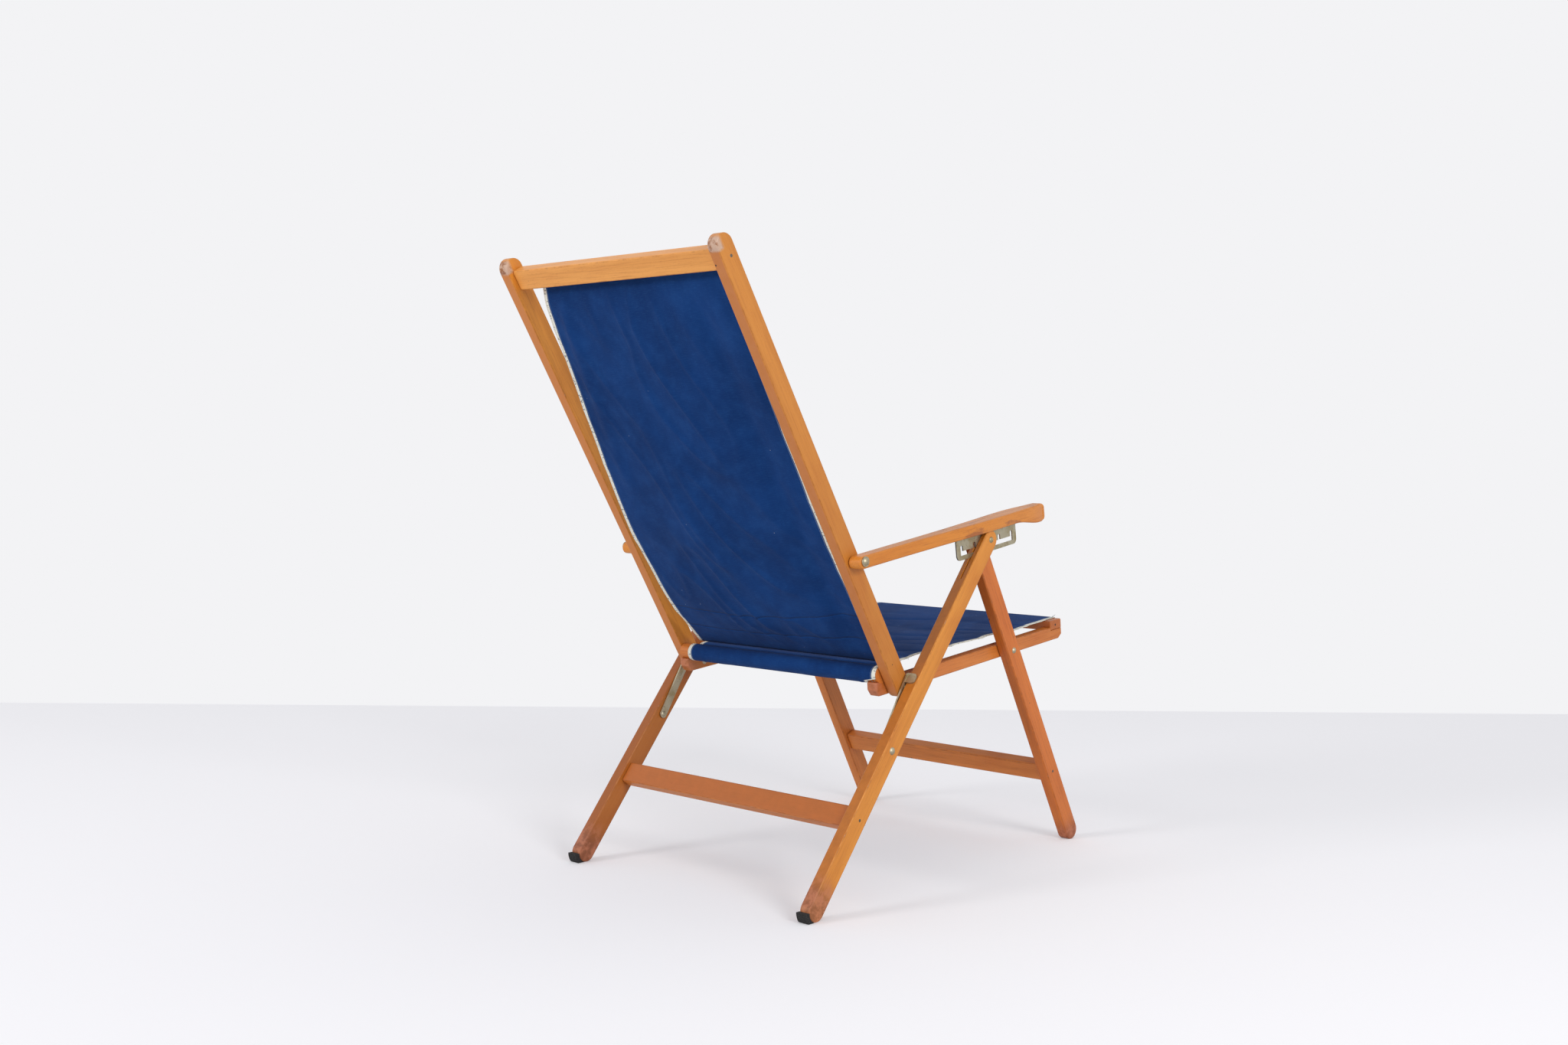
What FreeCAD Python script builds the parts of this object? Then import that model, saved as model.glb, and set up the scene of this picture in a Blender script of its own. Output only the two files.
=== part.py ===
import FreeCAD, Part
import math
import os
import Sketcher

# Folding deck chair with a canvas sling, in millimetres.
# +X is the sitter's left, +Y points to the back, +Z is up. The floor is Z = 0.
# The chair is symmetric about X = 0: right-hand pieces mirror the left-hand ones.

doc = FreeCAD.newDocument("DeckChair")

# Driving sizes. Angles are in degrees, all other values in millimetres.
SIZES = [
    ("timber_wide", 35, "width of the legs and stiles, seen from the side"),
    ("timber_thick", 21, "thickness of the legs, stiles and boards"),
    ("edge_round", 2.5, "rounding of the long timber edges"),
    ("half_width", 284, "middle of the chair to the outer face of a rear leg"),
    ("link_space", 6.5, "gap between a rear leg and the pieces inside it, for the link"),
    ("board_gap", 1, "gap between boards that turn past each other"),
    ("pin_height", 579.4, "height of the top pin above the floor"),
    ("front_lean", 28.9, "lean of the front legs from the vertical"),
    ("foot_flat", 1, "depth of the level cut under each foot"),
    ("pivot_off_leg", 13.02, "back pivot ahead of the middle line of the rear leg"),
    ("pivot_to_link", 113.4, "back pivot to link bolt, along the rear leg"),
    ("pin_to_seat", 233.4, "top pin to seat pivot, along the front leg"),
    ("seat_reach", 320.9, "seat pivot to back pivot, along the seat rail"),
    ("seat_slope", 6.1, "fall of the seat rail towards the back"),
    ("back_lean", 31.6, "lean of the stiles from the vertical"),
    ("stile_above", 809, "back pivot to the centre of the stile's rounded top"),
    ("stile_round", 17.5, "radius of the stile's ends"),
    ("arm_reach", 252.3, "back pivot to armrest bolt, along the stile"),
    ("arm_slope", 8.7, "rise of the armrest towards the front"),
    ("arm_length", 515, "armrest bolt to the tip of the armrest"),
    ("arm_tail", 12, "armrest behind its bolt"),
    ("arm_above", 9, "armrest top above its bolt"),
    ("arm_below", 12, "armrest underside below its bolt"),
    ("arm_narrow", 26, "width of the armrest at its rear end"),
    ("arm_bulge_in", 6.5, "how far the armrest's inner side swells towards the sitter"),
    ("arm_bulge_out", 8, "how far the armrest's outer side swells"),
    ("nose_drop", 12, "extra depth of the grip at the armrest's front"),
    ("nose_length", 106, "length of the grip"),
    ("rebate_depth", 9.5, "depth of the recess over the leg tops"),
    ("rebate_room", 6, "room in that recess beyond the leg at either end"),
    ("rebate_side", 0.6, "room in that recess outside the rear leg"),
    ("arm_edge_round", 3, "rounding of the armrest's edges"),
    ("rail_high", 24, "height of a seat rail"),
    ("rail_front", 509, "back pivot to the front end of the seat rail"),
    ("rail_tail", 42, "seat rail behind the back pivot"),
    ("front_board_wide", 36, "width of the front seat board"),
    ("front_board_thick", 18, "thickness of the front seat board"),
    ("front_board_sink", 5.5, "how deep the front board is let into the rails"),
    ("bar_radius", 14, "radius of the round rear seat bar"),
    ("bar_behind", 27, "rear seat bar behind the back pivot"),
    ("bar_over_rail", 11, "centre of the rear bar above the rail's top face"),
    ("top_rail_high", 35, "height of the top rail, along the stile"),
    ("top_rail_below", 19.5, "top edge of the top rail below the tips of the stiles"),
    ("top_rail_ahead", 2.5, "middle of the top rail ahead of the middle of the stiles"),
    ("stretcher_thick", 20, "thickness of the leg stretchers"),
    ("stretcher_high", 37, "height of the leg stretchers"),
    ("rear_stretcher_up", 143, "height of the rear stretcher's middle above the floor"),
    ("front_stretcher_up", 138, "height of the front stretcher's middle above the floor"),
    ("kerf_wide", 3.6, "saw cut in the head of the rear leg"),
    ("kerf_deep", 96, "depth of the saw cut below the top pin"),
    ("plate_thick", 2.2, "thickness of the notched plate"),
    ("plate_length", 176, "length of the notched plate"),
    ("plate_below_pin", 22, "bottom edge of the plate below the top pin"),
    ("notch_pitch", 36.7, "distance from one notch to the next"),
    ("notch_deep", 10, "depth of a notch above the channel"),
    ("notch_wide", 6.8, "width of a notch"),
    ("channel_high", 8, "height of the channel below the notches"),
    ("plate_corner", 9, "corner radius of the notched plate"),
    ("plate_sink", 6, "depth of the plate's top edge in the armrest"),
    ("pin_radius", 3, "radius of the top pins"),
    ("bolt_radius", 3, "radius of the link, seat and armrest bolts"),
    ("fit_gap", 0.05, "radial clearance of a pin or bolt in its hole"),
    ("top_head_radius", 5.5, "head of the top pin"),
    ("link_head_radius", 6.5, "head of the link bolt"),
    ("seat_head_radius", 5.5, "head of the seat pivot bolt"),
    ("arm_head_radius", 6.5, "head of the armrest bolt"),
    ("head_high", 3.2, "height of a domed head"),
    ("washer_radius", 8.5, "radius of the washer under the armrest bolt"),
    ("washer_thick", 1.2, "thickness of that washer"),
    ("link_wide", 15, "width of the steel link"),
    ("link_thick", 3, "thickness of the steel link"),
    ("link_past_pivot", 24, "link above the back pivot, up to its rounded end"),
    ("link_clear", 1, "clearance between the link and the rear leg"),
    ("tab_long", 18, "length of the link's stop along the leg"),
    ("tab_up", 4, "stop of the link above the back pivot, along the leg"),
    ("tab_short", 4, "stop of the link short of the leg's outer face"),
    ("tab_clear", 0.2, "clearance between that stop and the leg"),
    ("rivet_radius", 3, "radius of the rivet in the link's upper eye"),
    ("rivet_head_radius", 5.2, "head of that rivet"),
    ("nail_radius", 1.6, "radius of the nails"),
    ("nail_head_radius", 2.6, "radius of the nail heads"),
    ("nail_length", 38, "length of the nails"),
    ("felt_thick", 8, "thickness of the felt under the rear feet"),
    ("canvas_half", 219, "half of the width of the canvas"),
    ("canvas_thick", 1.6, "thickness of the canvas with its folds"),
    ("canvas_gap", 0.3, "clearance between the canvas and the timber"),
    ("back_sag", 35, "how far the back canvas bellies out behind the stiles' centre line"),
    ("canvas_split", 140, "back pivot to the part of the back canvas that folds, along the stile"),
    ("canvas_seam", 40, "back pivot to the lower end of the back canvas, along the stile"),
]

sizes = doc.addObject("Spreadsheet::Sheet", "Sizes")
for row, (alias, value, note) in enumerate(SIZES, start=1):
    sizes.set("A%d" % row, alias)
    sizes.set("B%d" % row, str(value))
    sizes.set("C%d" % row, note)
    sizes.setAlias("B%d" % row, alias)
doc.recompute()


def size(alias):
    """A driving size as a plain number."""
    return float(sizes.get(alias))


# Places worked out from the driving sizes, kept in a second sheet as formulas.
# The pivots lie in the side view: *_y and *_z are their places at rest.
PLACES = [
    ("timber_half", "Sizes.timber_wide / 2"),
    ("foot_up", "timber_half - Sizes.foot_flat"),
    ("front_leg_below", "(Sizes.pin_height - foot_up) / cos(Sizes.front_lean * 1 deg)"),
    ("foot_ahead", "front_leg_below * sin(Sizes.front_lean * 1 deg) + timber_half"),
    ("seat_y_rel", "-Sizes.pin_to_seat * sin(Sizes.front_lean * 1 deg)"),
    ("back_y_rel", "seat_y_rel + Sizes.seat_reach * cos(Sizes.seat_slope * 1 deg)"),
    ("stile_y_rel", "back_y_rel + Sizes.stile_above * sin(Sizes.back_lean * 1 deg) + Sizes.stile_round"),
    ("pin_y", "(foot_ahead - stile_y_rel) / 2"),
    ("pin_z", "Sizes.pin_height"),
    ("seat_y", "pin_y + seat_y_rel"),
    ("seat_z", "pin_z - Sizes.pin_to_seat * cos(Sizes.front_lean * 1 deg)"),
    ("back_y", "pin_y + back_y_rel"),
    ("back_z", "seat_z - Sizes.seat_reach * sin(Sizes.seat_slope * 1 deg)"),
    ("pin_to_back", "sqrt((back_y - pin_y) ^ 2 + (pin_z - back_z) ^ 2)"),
    ("off_angle", "asin(Sizes.pivot_off_leg / pin_to_back) / 1 deg"),
    ("rear_lean", "atan((back_y - pin_y) / (pin_z - back_z)) / 1 deg - off_angle"),
    ("rear_leg_below", "(Sizes.pin_height - foot_up) / cos(rear_lean * 1 deg)"),
    ("pin_to_link", "pin_to_back * cos(off_angle * 1 deg) + Sizes.pivot_to_link"),
    ("link_y", "pin_y + pin_to_link * sin(rear_lean * 1 deg)"),
    ("link_z", "pin_z - pin_to_link * cos(rear_lean * 1 deg)"),
    ("arm_y", "back_y + Sizes.arm_reach * sin(Sizes.back_lean * 1 deg)"),
    ("arm_z", "back_z + Sizes.arm_reach * cos(Sizes.back_lean * 1 deg)"),
    ("rear_inner", "Sizes.half_width - Sizes.timber_thick"),
    ("front_outer", "rear_inner - Sizes.link_space"),
    ("front_inner", "front_outer - Sizes.timber_thick"),
    ("rail_outer", "front_inner - Sizes.board_gap"),
    ("rail_inner", "rail_outer - Sizes.timber_thick"),
    ("arm_inner", "front_outer + Sizes.board_gap"),
    ("arm_outer", "arm_inner + Sizes.arm_narrow"),
    ("kerf_middle", "Sizes.half_width - Sizes.timber_thick / 2"),
    ("kerf_inner", "kerf_middle - Sizes.kerf_wide / 2"),
    ("kerf_outer", "kerf_middle + Sizes.kerf_wide / 2"),
    ("pin_hole", "Sizes.pin_radius + Sizes.fit_gap"),
    ("bolt_hole", "Sizes.bolt_radius + Sizes.fit_gap"),
    ("bar_up", "Sizes.rail_high / 2 + Sizes.bar_over_rail"),
    ("board_low", "Sizes.rail_high / 2 - Sizes.front_board_sink"),
    ("top_rail_top", "Sizes.stile_above + Sizes.stile_round - Sizes.top_rail_below"),
]

places = doc.addObject("Spreadsheet::Sheet", "Places")
ALIASES = [alias for alias, formula in PLACES]
for row, (alias, formula) in enumerate(PLACES, start=1):
    places.set("A%d" % row, alias)
    places.set("B%d" % row, "=" + formula.replace("Sizes.", "<<Sizes>>."))
    places.setAlias("B%d" % row, alias)
sizes.Label = "Sizes"
places.Label = "Places"
doc.recompute()


def place(alias):
    """A worked-out place as a plain number."""
    value = places.get(alias)
    return float(getattr(value, "Value", value))


pieces = []


def finish_piece(label, item):
    """Name the object after its node and list it for export."""
    item.Label = label
    pieces.append(item)
    return item


def origin_plane(body, role):
    """One of the body's own origin planes."""
    return next(item for item in body.Origin.OriginFeatures if item.Role == role)


def new_sketch(body, name, role):
    """An empty sketch on one of the body's origin planes."""
    sketch = body.newObject("Sketcher::SketchObject", name)
    sketch.AttachmentSupport = (origin_plane(body, role), [""])
    sketch.MapMode = "FlatFace"
    return sketch


def bind_point(sketch, edge, end, across, up):
    """Hold one end of an edge at a place given by two expressions."""
    for kind, expression, axis in (("DistanceX", across, -2), ("DistanceY", up, -1)):
        if expression == "0":
            sketch.addConstraint(Sketcher.Constraint("PointOnObject", edge, end, axis))
            continue
        start = value_of(sketch, expression)
        index = sketch.addConstraint(Sketcher.Constraint(kind, -1, 1, edge, end, start))
        sketch.setExpression("Constraints[%d]" % index, expression)


def value_of(item, expression):
    """The present number behind an expression."""
    value = item.evalExpression(expression)
    return float(getattr(value, "Value", value))


def draw_polygon(sketch, corners):
    """A closed outline of straight edges through corners bound to expressions."""
    points = [FreeCAD.Vector(value_of(sketch, a), value_of(sketch, b), 0) for a, b in corners]
    first = sketch.GeometryCount
    count = len(points)
    for i in range(count):
        sketch.addGeometry(Part.LineSegment(points[i], points[(i + 1) % count]))
    for i in range(count):
        after = first + (i + 1) % count
        sketch.addConstraint(Sketcher.Constraint("Coincident", first + i, 2, after, 1))
    for i, (across, up) in enumerate(corners):
        bind_point(sketch, first + i, 1, across, up)


def draw_circle(sketch, across, up, radius):
    """A full circle with its centre and radius bound to expressions."""
    centre = FreeCAD.Vector(value_of(sketch, across), value_of(sketch, up), 0)
    circle = Part.Circle(centre, FreeCAD.Vector(0, 0, 1), value_of(sketch, radius))
    index = sketch.addGeometry(circle)
    held = sketch.addConstraint(Sketcher.Constraint("Radius", index, circle.Radius))
    sketch.setExpression("Constraints[%d]" % held, radius)
    bind_point(sketch, index, 3, across, up)


def draw_slot(sketch, low, high, radius):
    """A bar outline with half-round ends, centred on the upright axis."""
    r = value_of(sketch, radius)
    ends = (value_of(sketch, high), value_of(sketch, low))
    normal = FreeCAD.Vector(0, 0, 1)
    for middle, start in ((ends[0], 0), (ends[1], math.pi)):
        circle = Part.Circle(FreeCAD.Vector(0, middle, 0), normal, r)
        sketch.addGeometry(Part.ArcOfCircle(circle, start, start + math.pi))
    left = Part.LineSegment(FreeCAD.Vector(-r, ends[0], 0), FreeCAD.Vector(-r, ends[1], 0))
    right = Part.LineSegment(FreeCAD.Vector(r, ends[1], 0), FreeCAD.Vector(r, ends[0], 0))
    sketch.addGeometry(left)
    sketch.addGeometry(right)
    for arc, arc_end, line, line_end in ((0, 2, 2, 1), (2, 2, 1, 1), (1, 2, 3, 1), (3, 2, 0, 1)):
        sketch.addConstraint(Sketcher.Constraint("Tangent", arc, arc_end, line, line_end))
    held = sketch.addConstraint(Sketcher.Constraint("Radius", 0, r))
    sketch.setExpression("Constraints[%d]" % held, radius)
    bind_point(sketch, 0, 3, "0", high)
    bind_point(sketch, 1, 3, "0", low)


def pad(body, sketch, length):
    feature = body.newObject("PartDesign::Pad", sketch.Name + "Pad")
    feature.Profile = sketch
    feature.setExpression("Length", length)
    doc.recompute()
    return feature


def pocket_through(body, sketch):
    """Cut the sketch right through the body, both ways."""
    before = body.Shape.Volume
    feature = body.newObject("PartDesign::Pocket", sketch.Name + "Pocket")
    feature.Profile = sketch
    feature.SideType = "Symmetric"
    feature.Type = "ThroughAll"
    doc.recompute()
    if body.Shape.Volume > before - 1:
        raise RuntimeError("nothing was cut by " + feature.Name)
    return feature


def round_edges(body, radius):
    """Ease every edge that the body has so far."""
    base = body.Tip
    feature = body.newObject("PartDesign::Fillet", body.Name + "Round")
    feature.Base = (base, ["Edge1"])
    feature.UseAllEdges = True
    feature.setExpression("Radius", radius)
    doc.recompute()
    return feature


def set_place(item, across, back, up, turn="0"):
    """Bind a placement: a point, and a turn about the X axis in degrees."""
    item.Placement = FreeCAD.Placement(
        FreeCAD.Vector(0, 0, 0), FreeCAD.Rotation(FreeCAD.Vector(1, 0, 0), value_of(item, turn)))
    item.setExpression("Placement.Base.x", across)
    item.setExpression("Placement.Base.y", back)
    item.setExpression("Placement.Base.z", up)
    if turn != "0":
        item.setExpression("Placement.Rotation.Angle", "(%s) * 1 deg" % turn)


def mirrored(label, source):
    """The right-hand twin of a left-hand piece."""
    twin = doc.addObject("Part::Mirroring", label)
    twin.Source = source
    twin.Normal = FreeCAD.Vector(1, 0, 0)
    return finish_piece(label, twin)


def grouped(label, items):
    """Identical fasteners as one group of separate solids."""
    group = doc.addObject("Part::Compound", label)
    group.Links = items
    return finish_piece(label, group)


def mirror_pair(label, item):
    """A fastener and its right-hand twin in one group."""
    twin = doc.addObject("Part::Mirroring", label + "_twin")
    twin.Source = item
    twin.Normal = FreeCAD.Vector(1, 0, 0)
    return [item, twin]


def level_cut(label, body):
    """Cut a leg off level with the floor."""
    floor = doc.addObject("Part::Box", label + "_floor")
    for side in ("Length", "Width", "Height"):
        floor.setExpression(side, "Sizes.timber_wide * 4")
    floor.setExpression("Placement.Base.x", "Places.rear_inner - Sizes.timber_wide * 2")
    cut = doc.addObject("Part::Cut", label)
    cut.Base = body
    cut.Tool = floor
    return cut, floor


# Nails: each has its head flush with the face it is driven into.
def nail_group(label, face, back, up):
    """A nail through the outer face at X = face and its twin on the other side."""
    nail = doc.addObject("Part::Cylinder", label + "_shank")
    nail.setExpression("Radius", "Sizes.nail_radius")
    nail.setExpression("Height", "Sizes.nail_length")
    nail_head = doc.addObject("Part::Cone", label + "_head")
    nail_head.setExpression("Radius1", "Sizes.nail_radius")
    nail_head.setExpression("Radius2", "Sizes.nail_head_radius")
    nail_head.Height = 1.5
    for item, start in ((nail, face + " - Sizes.nail_length"), (nail_head, face + " - 1.5")):
        item.Placement.Rotation = FreeCAD.Rotation(FreeCAD.Vector(0, 1, 0), 90)
        item.setExpression("Placement.Base.x", start)
        item.setExpression("Placement.Base.y", back)
        item.setExpression("Placement.Base.z", up)
    whole = doc.addObject("Part::Fuse", label + "_left")
    whole.Base = nail
    whole.Tool = nail_head
    doc.recompute()
    return grouped(label, mirror_pair(label, whole))


def nailed(label, item, nails):
    """The piece with the nails' holes in it."""
    cut = doc.addObject("Part::Cut", label)
    cut.Base = item
    cut.Tool = nails
    return finish_piece(label, cut)


RUN_DOWN = "(Places.pin_z - Sizes.%s) * tan(%s * 1 deg)"
rear_stretcher_y = "Places.pin_y + " + RUN_DOWN % ("rear_stretcher_up", "Places.rear_lean")
front_stretcher_y = "Places.pin_y - " + RUN_DOWN % ("front_stretcher_up", "Sizes.front_lean")
TOP_RAIL_UP = "(Places.top_rail_top - Sizes.top_rail_high / 2)"
top_rail_y = ("Places.back_y + %s * sin(Sizes.back_lean * 1 deg)"
              " - Sizes.top_rail_ahead * cos(Sizes.back_lean * 1 deg)" % TOP_RAIL_UP)
top_rail_z = ("Places.back_z + %s * cos(Sizes.back_lean * 1 deg)"
              " + Sizes.top_rail_ahead * sin(Sizes.back_lean * 1 deg)" % TOP_RAIL_UP)
rear_nails = nail_group("rear_stretcher_nails", "Sizes.half_width", rear_stretcher_y,
                        "Sizes.rear_stretcher_up")
front_nails = nail_group("front_stretcher_nails", "Places.front_outer", front_stretcher_y,
                         "Sizes.front_stretcher_up")
top_nails = nail_group("top_rail_nails", "Places.front_outer", top_rail_y, top_rail_z)


# Legs and stiles: sawn bars with rounded ends and eased edges.
def timber_bar(name, low, high, radius="Places.timber_half"):
    """A bar along its own Z, thickness along X, with its pivot at the origin."""
    body = doc.addObject("PartDesign::Body", name)
    outline = new_sketch(body, name + "Outline", "YZ_Plane")
    draw_slot(outline, low, high, radius)
    pad(body, outline, "Sizes.timber_thick")
    round_edges(body, "Sizes.edge_round")
    return body


def drill(body, name, holes):
    """Round holes through the bar, each as (across, up, radius)."""
    sketch = new_sketch(body, name, "YZ_Plane")
    for across, up, radius in holes:
        draw_circle(sketch, across, up, radius)
    pocket_through(body, sketch)


rear_leg = timber_bar("RearLeg", "-Places.rear_leg_below", "0")
drill(rear_leg, "RearLegHoles", [
    ("0", "0", "Places.pin_hole"), ("0", "-Places.pin_to_link", "Places.bolt_hole")])
kerf = new_sketch(rear_leg, "Kerf", "XZ_Plane")
draw_polygon(kerf, [
    ("(Sizes.timber_thick - Sizes.kerf_wide) / 2", "-Sizes.kerf_deep"),
    ("(Sizes.timber_thick + Sizes.kerf_wide) / 2", "-Sizes.kerf_deep"),
    ("(Sizes.timber_thick + Sizes.kerf_wide) / 2", "Sizes.timber_wide"),
    ("(Sizes.timber_thick - Sizes.kerf_wide) / 2", "Sizes.timber_wide")])
pocket_through(rear_leg, kerf)
set_place(rear_leg, "Places.rear_inner", "Places.pin_y", "Places.pin_z", "Places.rear_lean")
rear_leg_cut, rear_floor = level_cut("RearLegCut", rear_leg)
rear_floor.setExpression("Placement.Base.z", "-Sizes.timber_wide * 4")
rear_floor.setExpression("Placement.Base.y", "Places.pin_y + Places.rear_leg_below * "
                         "sin(Places.rear_lean * 1 deg) - Sizes.timber_wide * 2")
rear_leg_done = nailed("rear_leg_left", rear_leg_cut, rear_nails)
mirrored("rear_leg_right", rear_leg_done)

front_leg = timber_bar("FrontLeg", "-Places.front_leg_below", "0")
drill(front_leg, "FrontLegHoles", [
    ("0", "0", "Places.pin_hole"), ("0", "-Sizes.pin_to_seat", "Places.bolt_hole")])
set_place(front_leg, "Places.front_inner", "Places.pin_y", "Places.pin_z", "-Sizes.front_lean")
front_leg_cut, front_floor = level_cut("FrontLegCut", front_leg)
front_floor.setExpression("Placement.Base.z", "-Sizes.timber_wide * 4")
front_floor.setExpression("Placement.Base.y", "Places.pin_y - Places.front_leg_below * "
                          "sin(Sizes.front_lean * 1 deg) - Sizes.timber_wide * 2")
front_leg_done = nailed("front_leg_left", front_leg_cut, front_nails)
mirrored("front_leg_right", front_leg_done)

stile = timber_bar("Stile", "0", "Sizes.stile_above", "Sizes.stile_round")
drill(stile, "StileHoles", [
    ("0", "0", "Places.bolt_hole"), ("0", "Sizes.arm_reach", "Places.bolt_hole")])
set_place(stile, "Places.front_inner", "Places.back_y", "Places.back_z", "-Sizes.back_lean")
stile_done = nailed("stile_left", stile, top_nails)
mirrored("stile_right", stile_done)


# Cross pieces: boards between the left and right bars, butted and nailed.
def cross_board(label, half_length, thick, high, back, up, lean):
    """A board across the chair; thick runs along its own Y, high along its own Z."""
    body = doc.addObject("PartDesign::Body", label + "_board")
    outline = new_sketch(body, label + "_outline", "YZ_Plane")
    draw_polygon(outline, [
        ("-(%s) / 2" % thick, "-(%s) / 2" % high), ("(%s) / 2" % thick, "-(%s) / 2" % high),
        ("(%s) / 2" % thick, "(%s) / 2" % high), ("-(%s) / 2" % thick, "(%s) / 2" % high)])
    board = pad(body, outline, "2 * (%s)" % half_length)
    board.SideType = "Symmetric"
    round_edges(body, "Sizes.edge_round")
    set_place(body, "0", back, up, lean)
    return body


rear_stretcher = cross_board(
    "rear_stretcher", "Places.rear_inner", "Sizes.stretcher_thick", "Sizes.stretcher_high",
    rear_stretcher_y, "Sizes.rear_stretcher_up", "Places.rear_lean")
nailed("rear_stretcher", rear_stretcher, rear_nails)
front_stretcher = cross_board(
    "front_stretcher", "Places.front_inner", "Sizes.stretcher_thick", "Sizes.stretcher_high",
    front_stretcher_y, "Sizes.front_stretcher_up", "-Sizes.front_lean")
nailed("front_stretcher", front_stretcher, front_nails)
top_rail = cross_board(
    "top_rail", "Places.front_inner", "Sizes.timber_thick", "Sizes.top_rail_high",
    top_rail_y, top_rail_z, "-Sizes.back_lean")
nailed("top_rail", top_rail, top_nails)

# Seat frame, drawn in its own side view: Y runs back from the back pivot along the rail.
SEAT_TURN = "-Sizes.seat_slope"
rail = doc.addObject("PartDesign::Body", "SeatRail")
rail_outline = new_sketch(rail, "RailOutline", "YZ_Plane")
draw_polygon(rail_outline, [
    ("-Sizes.rail_front", "-Sizes.rail_high / 2 + Sizes.timber_thick / 3"),
    ("-Sizes.rail_front + Sizes.timber_thick / 2", "-Sizes.rail_high / 2"),
    ("Sizes.rail_tail - Sizes.timber_thick / 3", "-Sizes.rail_high / 2"),
    ("Sizes.rail_tail", "-Sizes.rail_high / 2 + Sizes.timber_thick / 2"),
    ("Sizes.rail_tail", "Sizes.rail_high / 2"),
    ("-Sizes.rail_front", "Sizes.rail_high / 2")])
pad(rail, rail_outline, "Sizes.timber_thick")
round_edges(rail, "Sizes.edge_round")
drill(rail, "RailHoles", [
    ("0", "0", "Places.bolt_hole"), ("-Sizes.seat_reach", "0", "Places.bolt_hole")])
seats = new_sketch(rail, "BarAndBoardSeats", "YZ_Plane")
draw_circle(seats, "Sizes.bar_behind", "Places.bar_up", "Sizes.bar_radius")
draw_polygon(seats, [
    ("-Sizes.rail_front - Sizes.timber_thick", "Places.board_low"),
    ("-Sizes.rail_front + Sizes.front_board_wide", "Places.board_low"),
    ("-Sizes.rail_front + Sizes.front_board_wide", "Sizes.rail_high"),
    ("-Sizes.rail_front - Sizes.timber_thick", "Sizes.rail_high")])
pocket_through(rail, seats)
set_place(rail, "Places.rail_inner", "Places.back_y", "Places.back_z", SEAT_TURN)
finish_piece("seat_rail_left", rail)
mirrored("seat_rail_right", rail)


def seat_point(back, up):
    """Expressions for a point given along and above the seat rail."""
    cos_part, sin_part = "cos(Sizes.seat_slope * 1 deg)", "sin(Sizes.seat_slope * 1 deg)"
    return ("Places.back_y + (%s) * %s + (%s) * %s" % (back, cos_part, up, sin_part),
            "Places.back_z - (%s) * %s + (%s) * %s" % (back, sin_part, up, cos_part))


board_y, board_z = seat_point("Sizes.front_board_wide / 2 - Sizes.rail_front",
                              "Places.board_low + Sizes.front_board_thick / 2")
front_board = cross_board("seat_front_rail", "Places.rail_outer", "Sizes.front_board_wide",
                          "Sizes.front_board_thick", board_y, board_z, SEAT_TURN)
finish_piece("seat_front_rail", front_board)

rear_bar = doc.addObject("Part::Cylinder", "seat_rear_bar")
rear_bar.setExpression("Radius", "Sizes.bar_radius")
rear_bar.setExpression("Height", "2 * Places.rail_outer")
rear_bar.Placement.Rotation = FreeCAD.Rotation(FreeCAD.Vector(0, 1, 0), 90)
bar_y, bar_z = seat_point("Sizes.bar_behind", "Places.bar_up")
rear_bar.setExpression("Placement.Base.x", "-Places.rail_outer")
rear_bar.setExpression("Placement.Base.y", bar_y)
rear_bar.setExpression("Placement.Base.z", bar_z)
finish_piece("seat_rear_bar", rear_bar)


# Felt glued round the back of each rear foot, cut off level with the floor.
def foot_felt():
    foot_y = pin_y + place("rear_leg_below") * math.sin(math.radians(place("rear_lean")))
    foot = FreeCAD.Vector(place("rear_inner"), foot_y, place("foot_up"))
    x_way = FreeCAD.Vector(1, 0, 0)
    thick, wide = size("felt_thick"), size("timber_thick")
    ring = Part.makeCylinder(place("timber_half") + thick, wide, foot, x_way)
    ring = ring.cut(Part.makeCylinder(place("timber_half") + 0.05, wide, foot, x_way))
    behind = Part.makeBox(wide, 60, place("foot_up"), FreeCAD.Vector(foot.x, foot_y + 6, 0.2))
    return ring.common(behind)


pin_y, pin_z = place("pin_y"), place("pin_z")
felt = doc.addObject("Part::Feature", "FootFelt")
felt.Shape = foot_felt()
grouped("foot_felts", mirror_pair("FootFelt", felt))


# Armrest: a shaped board, wider at the front, with a grip that hangs lower.
# It is drawn in its own frame, with Y forward from the bolt and Z up from it.
def smooth_side(points):
    """A smooth curve through points of the armrest's plan."""
    curve = Part.BSplineCurve()
    curve.interpolate([FreeCAD.Vector(*point) for point in points])
    return curve.toShape()


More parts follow.
